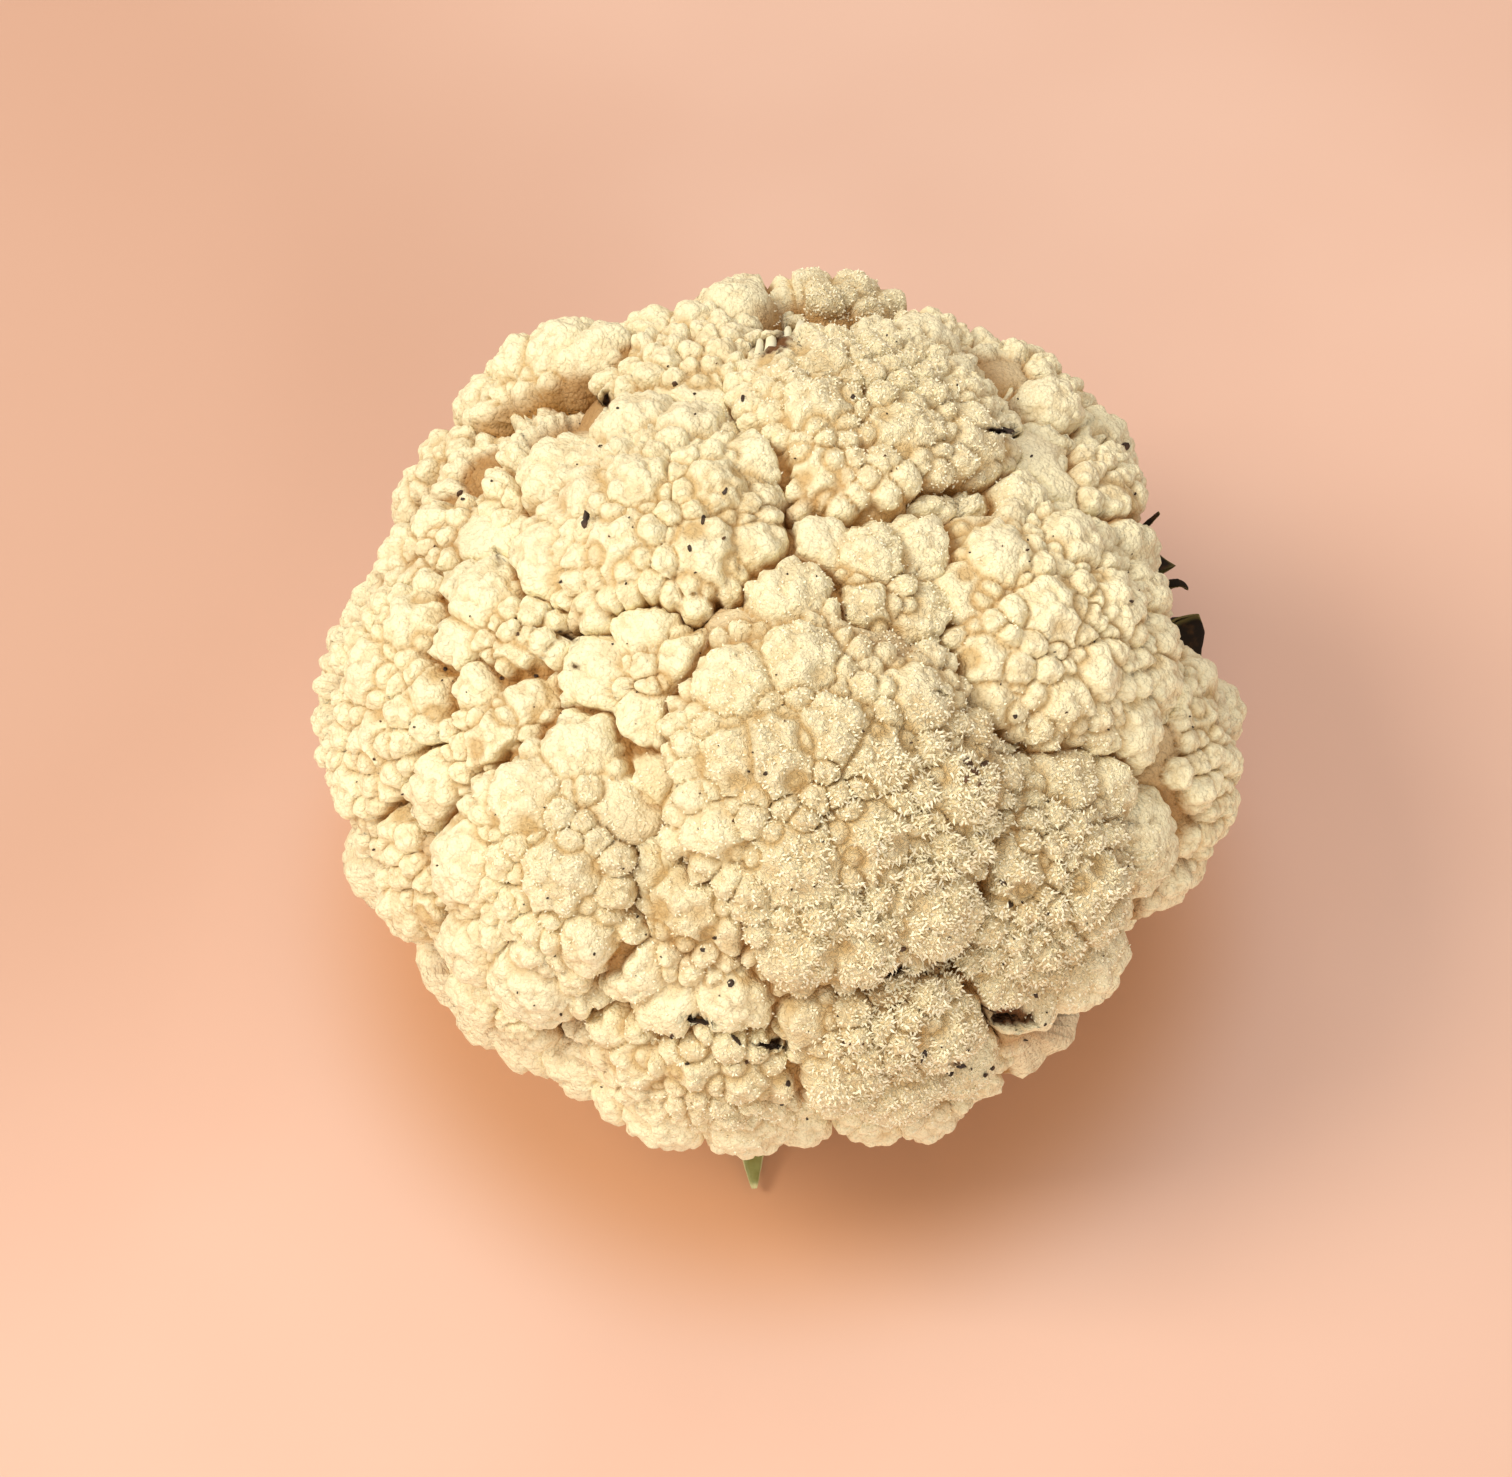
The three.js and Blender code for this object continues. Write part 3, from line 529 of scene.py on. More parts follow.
def geodesic(steps):
    """Points spread evenly over a unit sphere, and the triangles between them."""
    if steps in GEODESICS:
        return GEODESICS[steps]
    g = (1 + math.sqrt(5)) / 2
    corners = np.array([
        (-1, g, 0), (1, g, 0), (-1, -g, 0), (1, -g, 0), (0, -1, g), (0, 1, g),
        (0, -1, -g), (0, 1, -g), (g, 0, -1), (g, 0, 1), (-g, 0, -1), (-g, 0, 1)])
    sides = [
        (0, 11, 5), (0, 5, 1), (0, 1, 7), (0, 7, 10), (0, 10, 11), (1, 5, 9), (5, 11, 4),
        (11, 10, 2), (10, 7, 6), (7, 1, 8), (3, 9, 4), (3, 4, 2), (3, 2, 6), (3, 6, 8),
        (3, 8, 9), (4, 9, 5), (2, 4, 11), (6, 2, 10), (8, 6, 7), (9, 8, 1)]
    places = [(i, j) for i in range(steps + 1) for j in range(steps + 1 - i)]
    index = {place: n for n, place in enumerate(places)}
    weights = np.array([(steps - i - j, i, j) for i, j in places]) / steps
    small = []
    for i in range(steps):
        for j in range(steps - i):
            small.append((index[i, j], index[i + 1, j], index[i, j + 1]))
            if i + j < steps - 1:
                small.append((index[i + 1, j], index[i + 1, j + 1], index[i, j + 1]))
    small = np.array(small)
    points = np.concatenate([weights @ corners[list(side)] for side in sides])
    faces = np.concatenate([small + n * len(places) for n in range(len(sides))])
    keys = np.round(points * 1e5).astype(np.int64)
    _, first, inverse = np.unique(keys, axis=0, return_index=True, return_inverse=True)
    points = points[first]
    points = points / np.linalg.norm(points, axis=1, keepdims=True)
    GEODESICS[steps] = points, inverse.reshape(-1)[faces]
    return GEODESICS[steps]


def turned_to(out):
    """The rotation that takes +Z to out, as rows to multiply points by."""
    across = unit(np.cross([0.31, 0.17, 1.0] if abs(out[2]) < 0.9 else [1.0, 0.2, 0.1], out))
    return np.array([across, np.cross(out, across), out])


def furthest_hit(start, ways, balls):
    """For each way out of start, how far it goes to leave the last of the balls."""
    middles = np.array([b[0] for b in balls]) - start
    radii = np.array([b[1] for b in balls])
    along = ways @ middles.T
    inside = along ** 2 - (middles ** 2).sum(axis=1) + radii ** 2
    return np.where(inside > 0, along + np.sqrt(np.maximum(inside, 0)), 0).max(axis=1)


def depth_in_others(points, floret, florets):
    """How deep points lie in the other florets, in mm: below 0 outside them."""
    deepest = np.full(len(points), -99.0)
    for other in florets:
        apart = np.linalg.norm(other["middle"] - floret["middle"])
        if other is floret or apart > floret["reach"] + other["reach"] + 12:
            continue
        balls = other["lobes"] + other["fillers"]
        middles = np.array([middle for middle, _ in balls])
        radii = np.array([radius for _, radius in balls])
        radii[:len(other["lobes"])] += BUD_STANDS_OUT
        far = (points ** 2).sum(axis=1)[:, None] + (middles ** 2).sum(axis=1) - 2 * points @ middles.T
        depth = (radii - np.sqrt(np.maximum(far, 0))).max(axis=1)
        deepest = np.maximum(deepest, depth)
    return deepest


def pixels_of(points):
    """Where points show in the picture."""
    v = points - HEAD_MIDDLE
    scale = EYE_DISTANCE * PIXELS_PER_MM / (EYE_DISTANCE - v @ TOWARDS_EYE)
    return PICTURE_MIDDLE[0] + v[:, 0] * scale, PICTURE_MIDDLE[1] - v @ PICTURE_UP * scale


def gap_depth(points):
    """How far the dark gaps sink points, in mm."""
    x, y = pixels_of(points)
    depth = np.zeros(len(points))
    for px, py, half_width, half_height, turn, deep in DARK_GAPS:
        a = math.radians(turn)
        across = ((x - px) * math.cos(a) + (y - py) * math.sin(a)) / half_width
        down = ((y - py) * math.cos(a) - (x - px) * math.sin(a)) / half_height
        ragged = 0.28 * np.sin(x * 0.55 + py) * np.sin(y * 0.62 + px) + 0.15 * np.sin(x * 1.3 - y)
        depth = np.maximum(depth, deep * np.clip(1.5 + ragged - np.hypot(across, down), 0, 1))
    facing = (points - HEAD_MIDDLE) @ TOWARDS_EYE
    return depth * (facing > 0)


def floret_ways(floret):
    """Ways out of a floret's middle, closest together towards its top, their triangles, and how
    far each points along the floret."""
    fineness = SEEN_FINENESS if floret["seen"] else HIDDEN_FINENESS
    steps = max(8, int(round(fineness * (floret["reach"] + 2))))
    ways, faces = geodesic(steps)
    polar = np.arccos(np.clip(ways[:, 2], -1, 1))
    squeezed = math.pi * (polar / math.pi) ** CAP_SHARE
    ring = np.where(np.sin(polar) > 1e-6, np.sin(squeezed) / np.maximum(np.sin(polar), 1e-6), 0)
    ways = np.column_stack([ways[:, 0] * ring, ways[:, 1] * ring, np.cos(squeezed)])
    return ways @ turned_to(floret["out"]), faces, ways[:, 2]


def lobed_reach(start, ways, floret, seed):
    """How far the lobes and their buds reach each way, and how near a crease or a valley is."""
    lobes = [floret["body"]] + floret["lobes"] + floret["fillers"]
    smooth = np.stack([furthest_hit(start, ways, [ball]) for ball in lobes], axis=1)
    budded = [smooth[:, 0]]
    for i, lobe in enumerate(lobes[1:]):
        budded.append(furthest_hit(start, ways, buds_on(lobe, floret, seed * 13 + i)))
    budded = np.stack(budded, axis=1)
    best = smooth.argmax(axis=1)
    rows = np.arange(len(best))
    stands_out = np.maximum(budded[rows, best] - smooth[rows, best], -BUD_VALLEY)
    valley = np.where(best > 0, np.clip(1 - stands_out / BUD_TOP, 0, 1), 0.3)
    two = np.partition(smooth, -2, axis=1)[:, -2:]
    apart = two[:, 1] - two[:, 0]
    crease = np.exp(-apart / CREASE_SIDE)
    reach = two[:, 1] + stands_out * (1 - np.exp(-apart / BUDS_FROM_CREASE))
    return reach - CREASE_SINK * crease, crease, valley


def floret_skin(floret, florets, seed):
    """A floret's skin as points in mm, triangles, and what its colours go by at each point."""
    ways, faces, downwards = floret_ways(floret)
    deep = max(0.8 * floret["reach"] + 2, floret["top"] + 4, LEAST_DEPTH)
    start = floret["middle"] + floret["out"] * (floret["top"] - deep)
    reach, crease, valley = lobed_reach(start, ways, floret, seed)
    flat = np.where(downwards < 0, max(0.35 * deep, 5) / np.maximum(-downwards, 1e-3), 1e9)
    reach = np.minimum(np.maximum(reach, 1.5), flat)
    points = start + ways * reach[:, None]
    near = depth_in_others(points, floret, florets)
    cleft = np.clip((near + CLEFT_SIDE) / CLEFT_SIDE, 0, 1)
    outward = (points - HEAD_MIDDLE) / np.linalg.norm(points - HEAD_MIDDLE, axis=1, keepdims=True)
    share = np.linalg.norm(points - floret["middle"], axis=1) / floret["reach"]
    form = floret["top"] - bulge_of(floret["reach"]) * np.minimum(share, 1) ** 2
    sunken = np.clip((form - dome_height(points) - SUNKEN_FROM) / (SUNKEN_FULL - SUNKEN_FROM), 0, 1)
    gap = gap_depth(points)
    points = points - outward * (CLEFT_SINK * cleft ** 1.5)[:, None] - TOWARDS_EYE * gap[:, None]
    return points, faces, {
        "crease": crease, "cleft": cleft, "gap": gap, "valley": valley, "sunken": sunken}


def dome_height(points):
    """How far points stand above the dome, in mm, about."""
    v = points - HEAD_MIDDLE
    far = np.linalg.norm(v, axis=1)
    on_dome = far / np.linalg.norm(v / HEAD_RADIUS, axis=1)
    return far - on_dome


def strength_at(points, places):
    """How strongly the places (pixel x, pixel y, radius in pixels, strength) reach each point."""
    found = np.zeros(len(points))
    for x, y, radius, strength in places:
        middle = point_seen(x, y, 4)
        near = np.linalg.norm(points - middle, axis=1) / (radius / PIXELS_PER_MM)
        found = np.maximum(found, strength * np.clip(1.6 - 1.2 * near, 0, 1))
    return found


def mesh_object(name, points, faces, values=None):
    """A mesh object from points in mm, with a float attribute for each of values."""
    mesh = bpy.data.meshes.new(name)
    mesh.from_pydata((points * MM).tolist(), [], faces.tolist())
    for key, numbers in (values or {}).items():
        attribute = mesh.attributes.new(key, "FLOAT", "POINT")
        attribute.data.foreach_set("value", np.asarray(numbers, dtype=np.float32))
    mesh.polygons.foreach_set("use_smooth", [True] * len(mesh.polygons))
    mesh.validate()
    mesh.update()
    obj = bpy.data.objects.new(name, mesh)
    bpy.context.scene.collection.objects.link(obj)
    return obj


def florets_object(name, florets, every_floret, first_seed):
    skins = [floret_skin(f, every_floret, first_seed + i) for i, f in enumerate(florets)]
    starts = np.cumsum([0] + [len(s[0]) for s in skins])
    points = np.concatenate([s[0] for s in skins])
    faces = np.concatenate([s[1] + first for s, first in zip(skins, starts)])
    values = {key: np.concatenate([s[2][key] for s in skins]) for key in skins[0][2]}
    values["height"] = dome_height(points)
    values["fuzz"] = strength_at(points, FUZZY_PLACES)
    values["worn"] = strength_at(points, WORN_PLACES)
    return mesh_object(name, points, faces, values)


# Rods, blades and the stem
def bezier(corners, t):
    """Points at each t of the Bezier curve with these corners."""
    n = len(corners) - 1
    t = np.asarray(t)[:, None]
    parts = [math.comb(n, k) * (1 - t) ** (n - k) * t ** k * corners[k] for k in range(n + 1)]
    return sum(parts)


def outwards(points, faces):
    """The same triangles, turned so that they face out of the closed body they make."""
    a, b, c = (points[faces[:, k]] for k in range(3))
    volume = (a * np.cross(b, c)).sum()
    return faces if volume > 0 else faces[:, ::-1]


def rod(corners, sides, steps, section):
    """A closed tube along a Bezier curve, as points in mm and triangles. section(side, t) gives
    how far sideways and how far upwards of the curve each point lies."""
    corners = np.array(corners, float)
    t = np.linspace(0, 1, steps + 1)
    along = bezier(np.diff(corners, axis=0), t)
    sideways = np.cross([0, 0, 1], along)
    sideways = sideways / np.linalg.norm(sideways, axis=1, keepdims=True)
    upwards = np.cross(along, sideways)
    upwards = upwards / np.linalg.norm(upwards, axis=1, keepdims=True)
    side, down = np.meshgrid(np.arange(sides) * 2 * math.pi / sides, t)
    across, up = section(side, down)
    rings = bezier(corners, t)[:, None] + sideways[:, None] * across[..., None]
    rings = rings + upwards[:, None] * up[..., None]
    return closed_tube(rings)


def closed_tube(rings):
    """Points and triangles of a tube through rings of points, with a fan over each end."""
    steps, sides = len(rings) - 1, rings.shape[1]
    points = np.concatenate([rings.reshape(-1, 3), rings[:1].mean(axis=1), rings[-1:].mean(axis=1)])
    faces = []
    for i in range(steps):
        for j in range(sides):
            a, b = i * sides + j, i * sides + (j + 1) % sides
            faces += [(a, b, b + sides), (a, b + sides, a + sides)]
    first, last = len(points) - 2, len(points) - 1
    for j in range(sides):
        k = (j + 1) % sides
        faces += [(first, k, j), (last, steps * sides + j, steps * sides + k)]
    faces = np.array(faces)
    return points, outwards(points, faces)


def place_at(compass, radius, z):
    a = math.radians(compass)
    return np.array([radius * math.cos(a), radius * math.sin(a), z])


def rounded_end(t, share):
    """1 along a rod, and falling round to almost 0 over the last share of it."""
    over = np.clip((t - 1 + share) / share, 0, 1)
    return np.sqrt(np.maximum(1 - over ** 2, 0.02))


def leaf_blade(form, seed):
    """A cupped, ribbed blade, with how close to its rim each point is."""
    sizes = np.array(form["sizes"], float)
    even = np.linspace(0, 1, len(sizes))
    blunt = 0.03

    def section(side, t):
        width = np.interp(t, even, sizes[:, 0])
        thick = np.interp(t, even, sizes[:, 1]) * rounded_end(t, blunt)
        across = np.sin(side)
        ribs = np.cos(across * 15 + 1.5 * np.sin(t * 9 + seed)) * (1 - across ** 2)
        ragged = 1 + 0.05 * np.sin(t * 47 + seed) + 0.04 * np.sin(t * 91 + 2 * seed)
        bumps = 0.06 * np.sin(t * 61 + across * 7) * np.sin(across * 9 + seed)
        up = thick * np.cos(side) * (1 + 0.07 * ribs + bumps)
        depth = form["cup"] * width
        return width * across * ragged, up + depth * (across ** 2 - CUP_MIDDLE)

    places = [place_at(*place) for place in form["places"]]
    points, faces = rod(places, BLADE_SIDES, BLADE_STEPS, section)
    t = np.repeat(np.linspace(0, 1, BLADE_STEPS + 1), BLADE_SIDES)
    side = np.tile(np.abs(np.sin(np.arange(BLADE_SIDES) * 2 * math.pi / BLADE_SIDES)),
                   BLADE_STEPS + 1)
    rim = np.append(np.maximum(side ** 3, np.clip((t - 0.94) / 0.06, 0, 1)), [0, 1])
    return points, faces, rim


def joined(parts):
    """Several (points, faces, value) as one."""
    count = 0
    faces = []
    for points, f, _ in parts:
        faces.append(f + count)
        count += len(points)
    points = np.concatenate([p for p, _, _ in parts])
    return points, np.concatenate(faces), np.concatenate([v for _, _, v in parts])


def trunk():
    """The turned trunk with its cut face, with shallow scars where leaves were cut off."""
    sides, rows = 120, 60
    z = np.concatenate([np.zeros(14), np.linspace(0, STEM_TOP, rows), np.full(6, STEM_TOP)])
    heights = [0, 1, 10, 21, STEM_TOP - 4, STEM_TOP]
    widths = [STEM_RADIUS - 1, STEM_RADIUS, STEM_RADIUS + 1.5, STEM_RADIUS + 6, STEM_RADIUS + 11,
              STEM_RADIUS + 11]
    radius = np.interp(z, heights, widths)
    radius[:14] *= np.linspace(0.04, 1, 14)
    radius[-6:] *= np.linspace(1, 0.04, 6)
    angle, down = np.meshgrid(np.arange(sides) * 2 * math.pi / sides, z)
    around = np.repeat(radius[:, None], sides, axis=1)
    scar = np.zeros_like(around)
    for i in range(LEAF_SCARS):
        compass = i * GOLDEN_ANGLE
        height = 7 + 14 * i / LEAF_SCARS
        aside = (angle - compass + math.pi) % (2 * math.pi) - math.pi
        far = (aside / SCAR_SIZE[0]) ** 2 + ((down - height + 3 * aside ** 2) / SCAR_SIZE[1]) ** 2
        scar = np.maximum(scar, np.clip(1.35 - far, 0, 1))
    side_wall = (down > 0.5) & (down < STEM_TOP - 1)
    around = around + side_wall * (0.9 * np.minimum(scar * 2.5, 1) - 0.35 * scar)
    around = around * (1 + 0.006 * np.sin(5 * angle + 1) + 0.004 * np.sin(11 * angle + down * 0.2))
    rings = np.stack([around * np.cos(angle), around * np.sin(angle), down], axis=-1)
    points, faces = closed_tube(rings)
    return points, faces, np.zeros(len(points))


def branch(i):
    """One of the branches that fork out of the trunk to the florets."""
    compass = (i + 0.25 * chance(i + 90)) / BRANCHES * 360
    end = 54 + 3 * chance(i + 40)

    def section(side, t):
        thick = BRANCH_RADIUS - BRANCH_TAPER * t + 0.8 * chance(i + 7)
        ridges = 1 + 0.035 * np.sin(7 * side + 2 * t) + 0.03 * np.sin(3 * side - 4 * t + i)
        return thick * np.sin(side) * ridges, 0.85 * thick * np.cos(side) * ridges

    corners = [place_at(compass, 14, 16), place_at(compass, 34, 20), place_at(compass, end, 33)]
    points, faces = rod(corners, 24, 20, section)
    return points, faces, np.zeros(len(points))


def core_skin():
    """The core of the head under its florets, with stalks in relief on its flat underside."""
    ways, faces = geodesic(24)
    inner = HEAD_RADIUS - CORE_DEPTH
    reach = 1 / np.linalg.norm(ways / inner, axis=1)
    floor = (HEAD_MIDDLE[2] - UNDERSIDE) / np.maximum(-ways[:, 2], 1e-6)
    below = (ways[:, 2] < 0) & (floor < reach)
    reach = np.where(below, floor, reach)
    points = HEAD_MIDDLE + ways * reach[:, None]
    compass = np.arctan2(points[:, 1], points[:, 0])
    across = np.hypot(points[:, 0], points[:, 1])
    forks = np.where(across < 44, 26, 52)
    stalks = np.abs(np.sin(compass * forks / 2 + 0.4 * np.sin(across * 0.2)))
    points[:, 2] -= below * 1.8 * stalks * np.clip((across - 30) / 8, 0, 1)
    lumps = np.sin(points[:, 0] * 0.9) * np.sin(points[:, 1] * 0.8) * np.sin(points[:, 2] * 0.85)
    points = points + ways * (np.where(below, 0, 0.9) * lumps)[:, None]
    # 1 on the core's upper side, among the florets, where it is painted dark as shade
    return points, faces, np.where(below, 0.0, 1.0)


# Geometry node trees
class Nodes:
    """A node tree and short ways to add nodes to it."""

    def __init__(self, tree):
        self.tree = tree

    def node(self, kind, inputs=None, **settings):
        made = self.tree.nodes.new(kind)
        for key, value in settings.items():
            setattr(made, key, value)
        for key, value in (inputs or {}).items():
            self.feed(made.inputs[key], value)
        return made

    def feed(self, socket, value):
        if isinstance(value, bpy.types.NodeSocket):
            self.tree.links.new(value, socket)
        else:
            socket.default_value = value

    def math(self, operation, a, b=0.0, clamp=False):
        made = self.node("ShaderNodeMath", {0: a, 1: b}, operation=operation, use_clamp=clamp)
        return made.outputs[0]


class Tree(Nodes):
    """A geometry node tree with named inputs."""

    def __init__(self, name, numbers):
        super().__init__(bpy.data.node_groups.new(name, "GeometryNodeTree"))
        face = self.tree.interface
        face.new_socket("Geometry", in_out="INPUT", socket_type="NodeSocketGeometry")
        for label, value in numbers.items():
            kind = "NodeSocketInt" if isinstance(value, int) else "NodeSocketFloat"
            socket = face.new_socket(label, in_out="INPUT", socket_type=kind)
            socket.default_value = value
        face.new_socket("Material", in_out="INPUT", socket_type="NodeSocketMaterial")
        face.new_socket("Geometry", in_out="OUTPUT", socket_type="NodeSocketGeometry")
        self.inputs = self.tree.nodes.new("NodeGroupInput").outputs
        self.output = self.tree.nodes.new("NodeGroupOutput").inputs[0]

    def attribute(self, name):
        made = self.node("GeometryNodeInputNamedAttribute", {"Name": name}, data_type="FLOAT")
        return made.outputs["Attribute"]

    def finish(self, geometry):
        placed = self.node("GeometryNodeSetMaterial", {"Geometry": geometry})
        self.feed(placed.inputs["Material"], self.inputs["Material"])
        self.feed(self.output, placed.outputs[0])
        return self.tree


def voronoi_dome(tree, size, place):
    """A number that is 1 at the middle of each cell and falls to 0 at its edge."""
    scale = tree.math("DIVIDE", 1.0, size)
    cells = tree.node("ShaderNodeTexVoronoi", {"Vector": place, "Scale": scale}, feature="F1")
    share = tree.math("DIVIDE", cells.outputs["Distance"], 0.62)
    square = tree.math("MULTIPLY", share, share)
    return tree.math("SUBTRACT", 1.0, square, clamp=True)


def granule_tree():
    """Raises granules of two sizes and soft lumps out of a skin."""
    tree = Tree("Granules", {
        "Granule size": 1.5 * MM, "Granule height": 0.16 * MM,
        "Grain size": 1.0 * MM, "Grain height": 0.08 * MM,
        "Lump size": 7.0 * MM, "Lump height": 0.7 * MM,
    })
    place = tree.node("GeometryNodeInputPosition").outputs[0]
    granule = voronoi_dome(tree, tree.inputs["Granule size"], place)
    grain = voronoi_dome(tree, tree.inputs["Grain size"], place)
    lump_scale = tree.math("DIVIDE", 1.0, tree.inputs["Lump size"])
    lump = tree.node("ShaderNodeTexNoise", {"Vector": place, "Scale": lump_scale, "Detail": 1.0})
    lump_up = tree.math("SUBTRACT", lump.outputs[0], 0.5)
    rise = tree.math("MULTIPLY", granule, tree.inputs["Granule height"])
    rise = tree.math("ADD", rise, tree.math("MULTIPLY", grain, tree.inputs["Grain height"]))
    rise = tree.math("ADD", rise, tree.math("MULTIPLY", lump_up, tree.inputs["Lump height"]))
    normal = tree.node("GeometryNodeInputNormal").outputs[0]
    offset = tree.node("ShaderNodeVectorMath", {0: normal, 3: rise}, operation="SCALE")
    moved = tree.node("GeometryNodeSetPosition", {
        "Geometry": tree.inputs["Geometry"], "Offset": offset.outputs[0]})
    return tree.finish(moved.outputs[0])


def bent_hair(tree, cone):
    """The cone swollen in its middle and bent to one side."""
    place = tree.node("GeometryNodeInputPosition").outputs[0]
    parts = tree.node("ShaderNodeSeparateXYZ", {0: place}).outputs
    share = tree.math("DIVIDE", parts["Z"], tree.inputs["Length"])
    swell = tree.math("ADD", 1.0, tree.math("MULTIPLY", share, 2.0))
    aside = tree.math("MULTIPLY", tree.math("MULTIPLY", share, share), tree.inputs["Bend"])
    aside = tree.math("MULTIPLY", aside, tree.inputs["Length"])
    moved = tree.node("ShaderNodeCombineXYZ", {
        "X": tree.math("ADD", tree.math("MULTIPLY", parts["X"], swell), aside),
        "Y": tree.math("MULTIPLY", parts["Y"], swell), "Z": parts["Z"]})
    return tree.node("GeometryNodeSetPosition", {
        "Geometry": cone, "Position": moved.outputs[0]}).outputs[0]


def hair_tree():
    """Short bent hairs with blunt ends, thickest where the attribute fuzz is high."""
    tree = Tree("Fine hairs", {
        "Hairs per square metre": HAIRS_PER_MM2 * 1e6, "Length": HAIR_LENGTH * MM,
        "Width": HAIR_WIDTH * MM, "Bend": HAIR_BEND, "Lean": HAIR_LEAN, "Seed": 7,
    })
    fuzz = tree.attribute("fuzz")
    density = tree.math("MULTIPLY", fuzz, tree.inputs["Hairs per square metre"])
    for name, comparison, limit in HAIRS_WHERE:
        mask = tree.math(comparison, tree.attribute(name), limit)
        density = tree.math("MULTIPLY", density, mask)
    spread = tree.node("GeometryNodeDistributePointsOnFaces", {
        "Mesh": tree.inputs["Geometry"], "Density": density, "Seed": tree.inputs["Seed"]})
    cone = tree.node("GeometryNodeMeshCone", {
        "Vertices": 3, "Side Segments": 2, "Radius Top": 0.0,
        "Radius Bottom": tree.inputs["Width"], "Depth": tree.inputs["Length"]}, fill_type="NGON")
    hair = bent_hair(tree, cone.outputs["Mesh"])
    lean = tree.inputs["Lean"]
    least = tree.node("ShaderNodeCombineXYZ", {
        "X": tree.math("MULTIPLY", lean, -1.0), "Y": tree.math("MULTIPLY", lean, -1.0), "Z": 0.0})
    most = tree.node("ShaderNodeCombineXYZ", {"X": lean, "Y": lean, "Z": 6.28})
    tilt = tree.node("FunctionNodeRandomValue", {
        0: least.outputs[0], 1: most.outputs[0], "Seed": 3}, data_type="FLOAT_VECTOR")
    as_turn = tree.node("FunctionNodeEulerToRotation", {0: tilt.outputs[0]})
    turn = tree.node("FunctionNodeRotateRotation", {
        0: spread.outputs["Rotation"], 1: as_turn.outputs[0]}, rotation_space="LOCAL")
    size = tree.node("FunctionNodeRandomValue", {
        2: HAIR_SIZES[0], 3: HAIR_SIZES[1], "Seed": 5}, data_type="FLOAT")
    longer = tree.math("ADD", tree.math("MULTIPLY", tree.math("MULTIPLY", fuzz, fuzz), 0.85), 0.35)
    tall = tree.math("MULTIPLY", size.outputs[1], longer)
    scale = tree.node("ShaderNodeCombineXYZ", {"X": 1.0, "Y": 1.0, "Z": tall})
    placed = tree.node("GeometryNodeInstanceOnPoints", {
        "Points": spread.outputs["Points"], "Instance": hair,
        "Rotation": turn.outputs[0], "Scale": scale.outputs[0]})
    real = tree.node("GeometryNodeRealizeInstances", {"Geometry": placed.outputs[0]})
    return tree.finish(real.outputs[0])


def apply_tree(obj, tree, name, material, numbers=None):
    """A new object: the plain mesh that the tree makes of obj."""
    modifier = obj.modifiers.new("Tree", "NODES")
    modifier.node_group = tree
    for item in tree.interface.items_tree:
        if item.item_type != "SOCKET" or item.in_out != "INPUT":
            continue
        if item.name in (numbers or {}):
            modifier[item.identifier] = numbers[item.name]
        if item.name == "Material":
            modifier[item.identifier] = material
    deps = bpy.context.evaluated_depsgraph_get()
    mesh = bpy.data.meshes.new_from_object(
        obj.evaluated_get(deps), preserve_all_data_layers=True, depsgraph=deps)
    mesh.name = name
    obj.modifiers.clear()
    made = bpy.data.objects.new(name, mesh)
    bpy.context.scene.collection.objects.link(made)
    return made


# Materials
class Shading(Nodes):
    """A shader node tree."""

    def ramp(self, value, low, high):
        """0 up to low, 1 from high on, and smooth between them."""
        made = self.node("ShaderNodeMapRange", {
            "Value": value, "From Min": low, "From Max": high}, interpolation_type="SMOOTHSTEP")
        return made.outputs[0]

    def mix(self, factor, a, b):
        made = self.node("ShaderNodeMix", {0: factor}, data_type="RGBA")
        for socket, colour in ((made.inputs[6], a), (made.inputs[7], b)):
            self.feed(socket, colour if isinstance(colour, bpy.types.NodeSocket) else (*colour, 1))
        return made.outputs[2]


class Effect(Shading):
    """A shader node group with named inputs, which puts out a colour."""

    def __init__(self, name, vectors, numbers, colours):
        super().__init__(bpy.data.node_groups.new(name, "ShaderNodeTree"))
        kinds = {"NodeSocketVector": vectors, "NodeSocketFloat": numbers, "NodeSocketColor": colours}
        for kind, labels in kinds.items():
            for label in labels:
                self.tree.interface.new_socket(label, in_out="INPUT", socket_type=kind)
        self.tree.interface.new_socket("Colour", in_out="OUTPUT", socket_type="NodeSocketColor")
        self.inputs = self.tree.nodes.new("NodeGroupInput").outputs
        self.output = self.tree.nodes.new("NodeGroupOutput").inputs[0]


def patches_effect():
    """Soft patches of a second colour."""
    group = Effect("Patches", ["Place"], ["Size", "From", "To", "Strength"], ["Main", "Patch"])
    scale = group.math("DIVIDE", 1.0, group.inputs["Size"])
    noise = group.node("ShaderNodeTexNoise", {
        "Vector": group.inputs["Place"], "Scale": scale, "Detail": 3.0}).outputs[0]
    patchy = group.ramp(noise, group.inputs["From"], group.inputs["To"])
    share = group.math("MULTIPLY", patchy, group.inputs["Strength"])
    group.feed(group.output, group.mix(share, group.inputs["Main"], group.inputs["Patch"]))
    return group.tree


def edge_effect():
    """Another colour along the rim of a leaf."""
    group = Effect("Leaf edge", [], ["Edge", "From", "To"], ["Main", "Rim"])
    edge = group.ramp(group.inputs["Edge"], group.inputs["From"], group.inputs["To"])
    group.feed(group.output, group.mix(edge, group.inputs["Main"], group.inputs["Rim"]))
    return group.tree


PATCHES = patches_effect()
LEAF_EDGES = edge_effect()


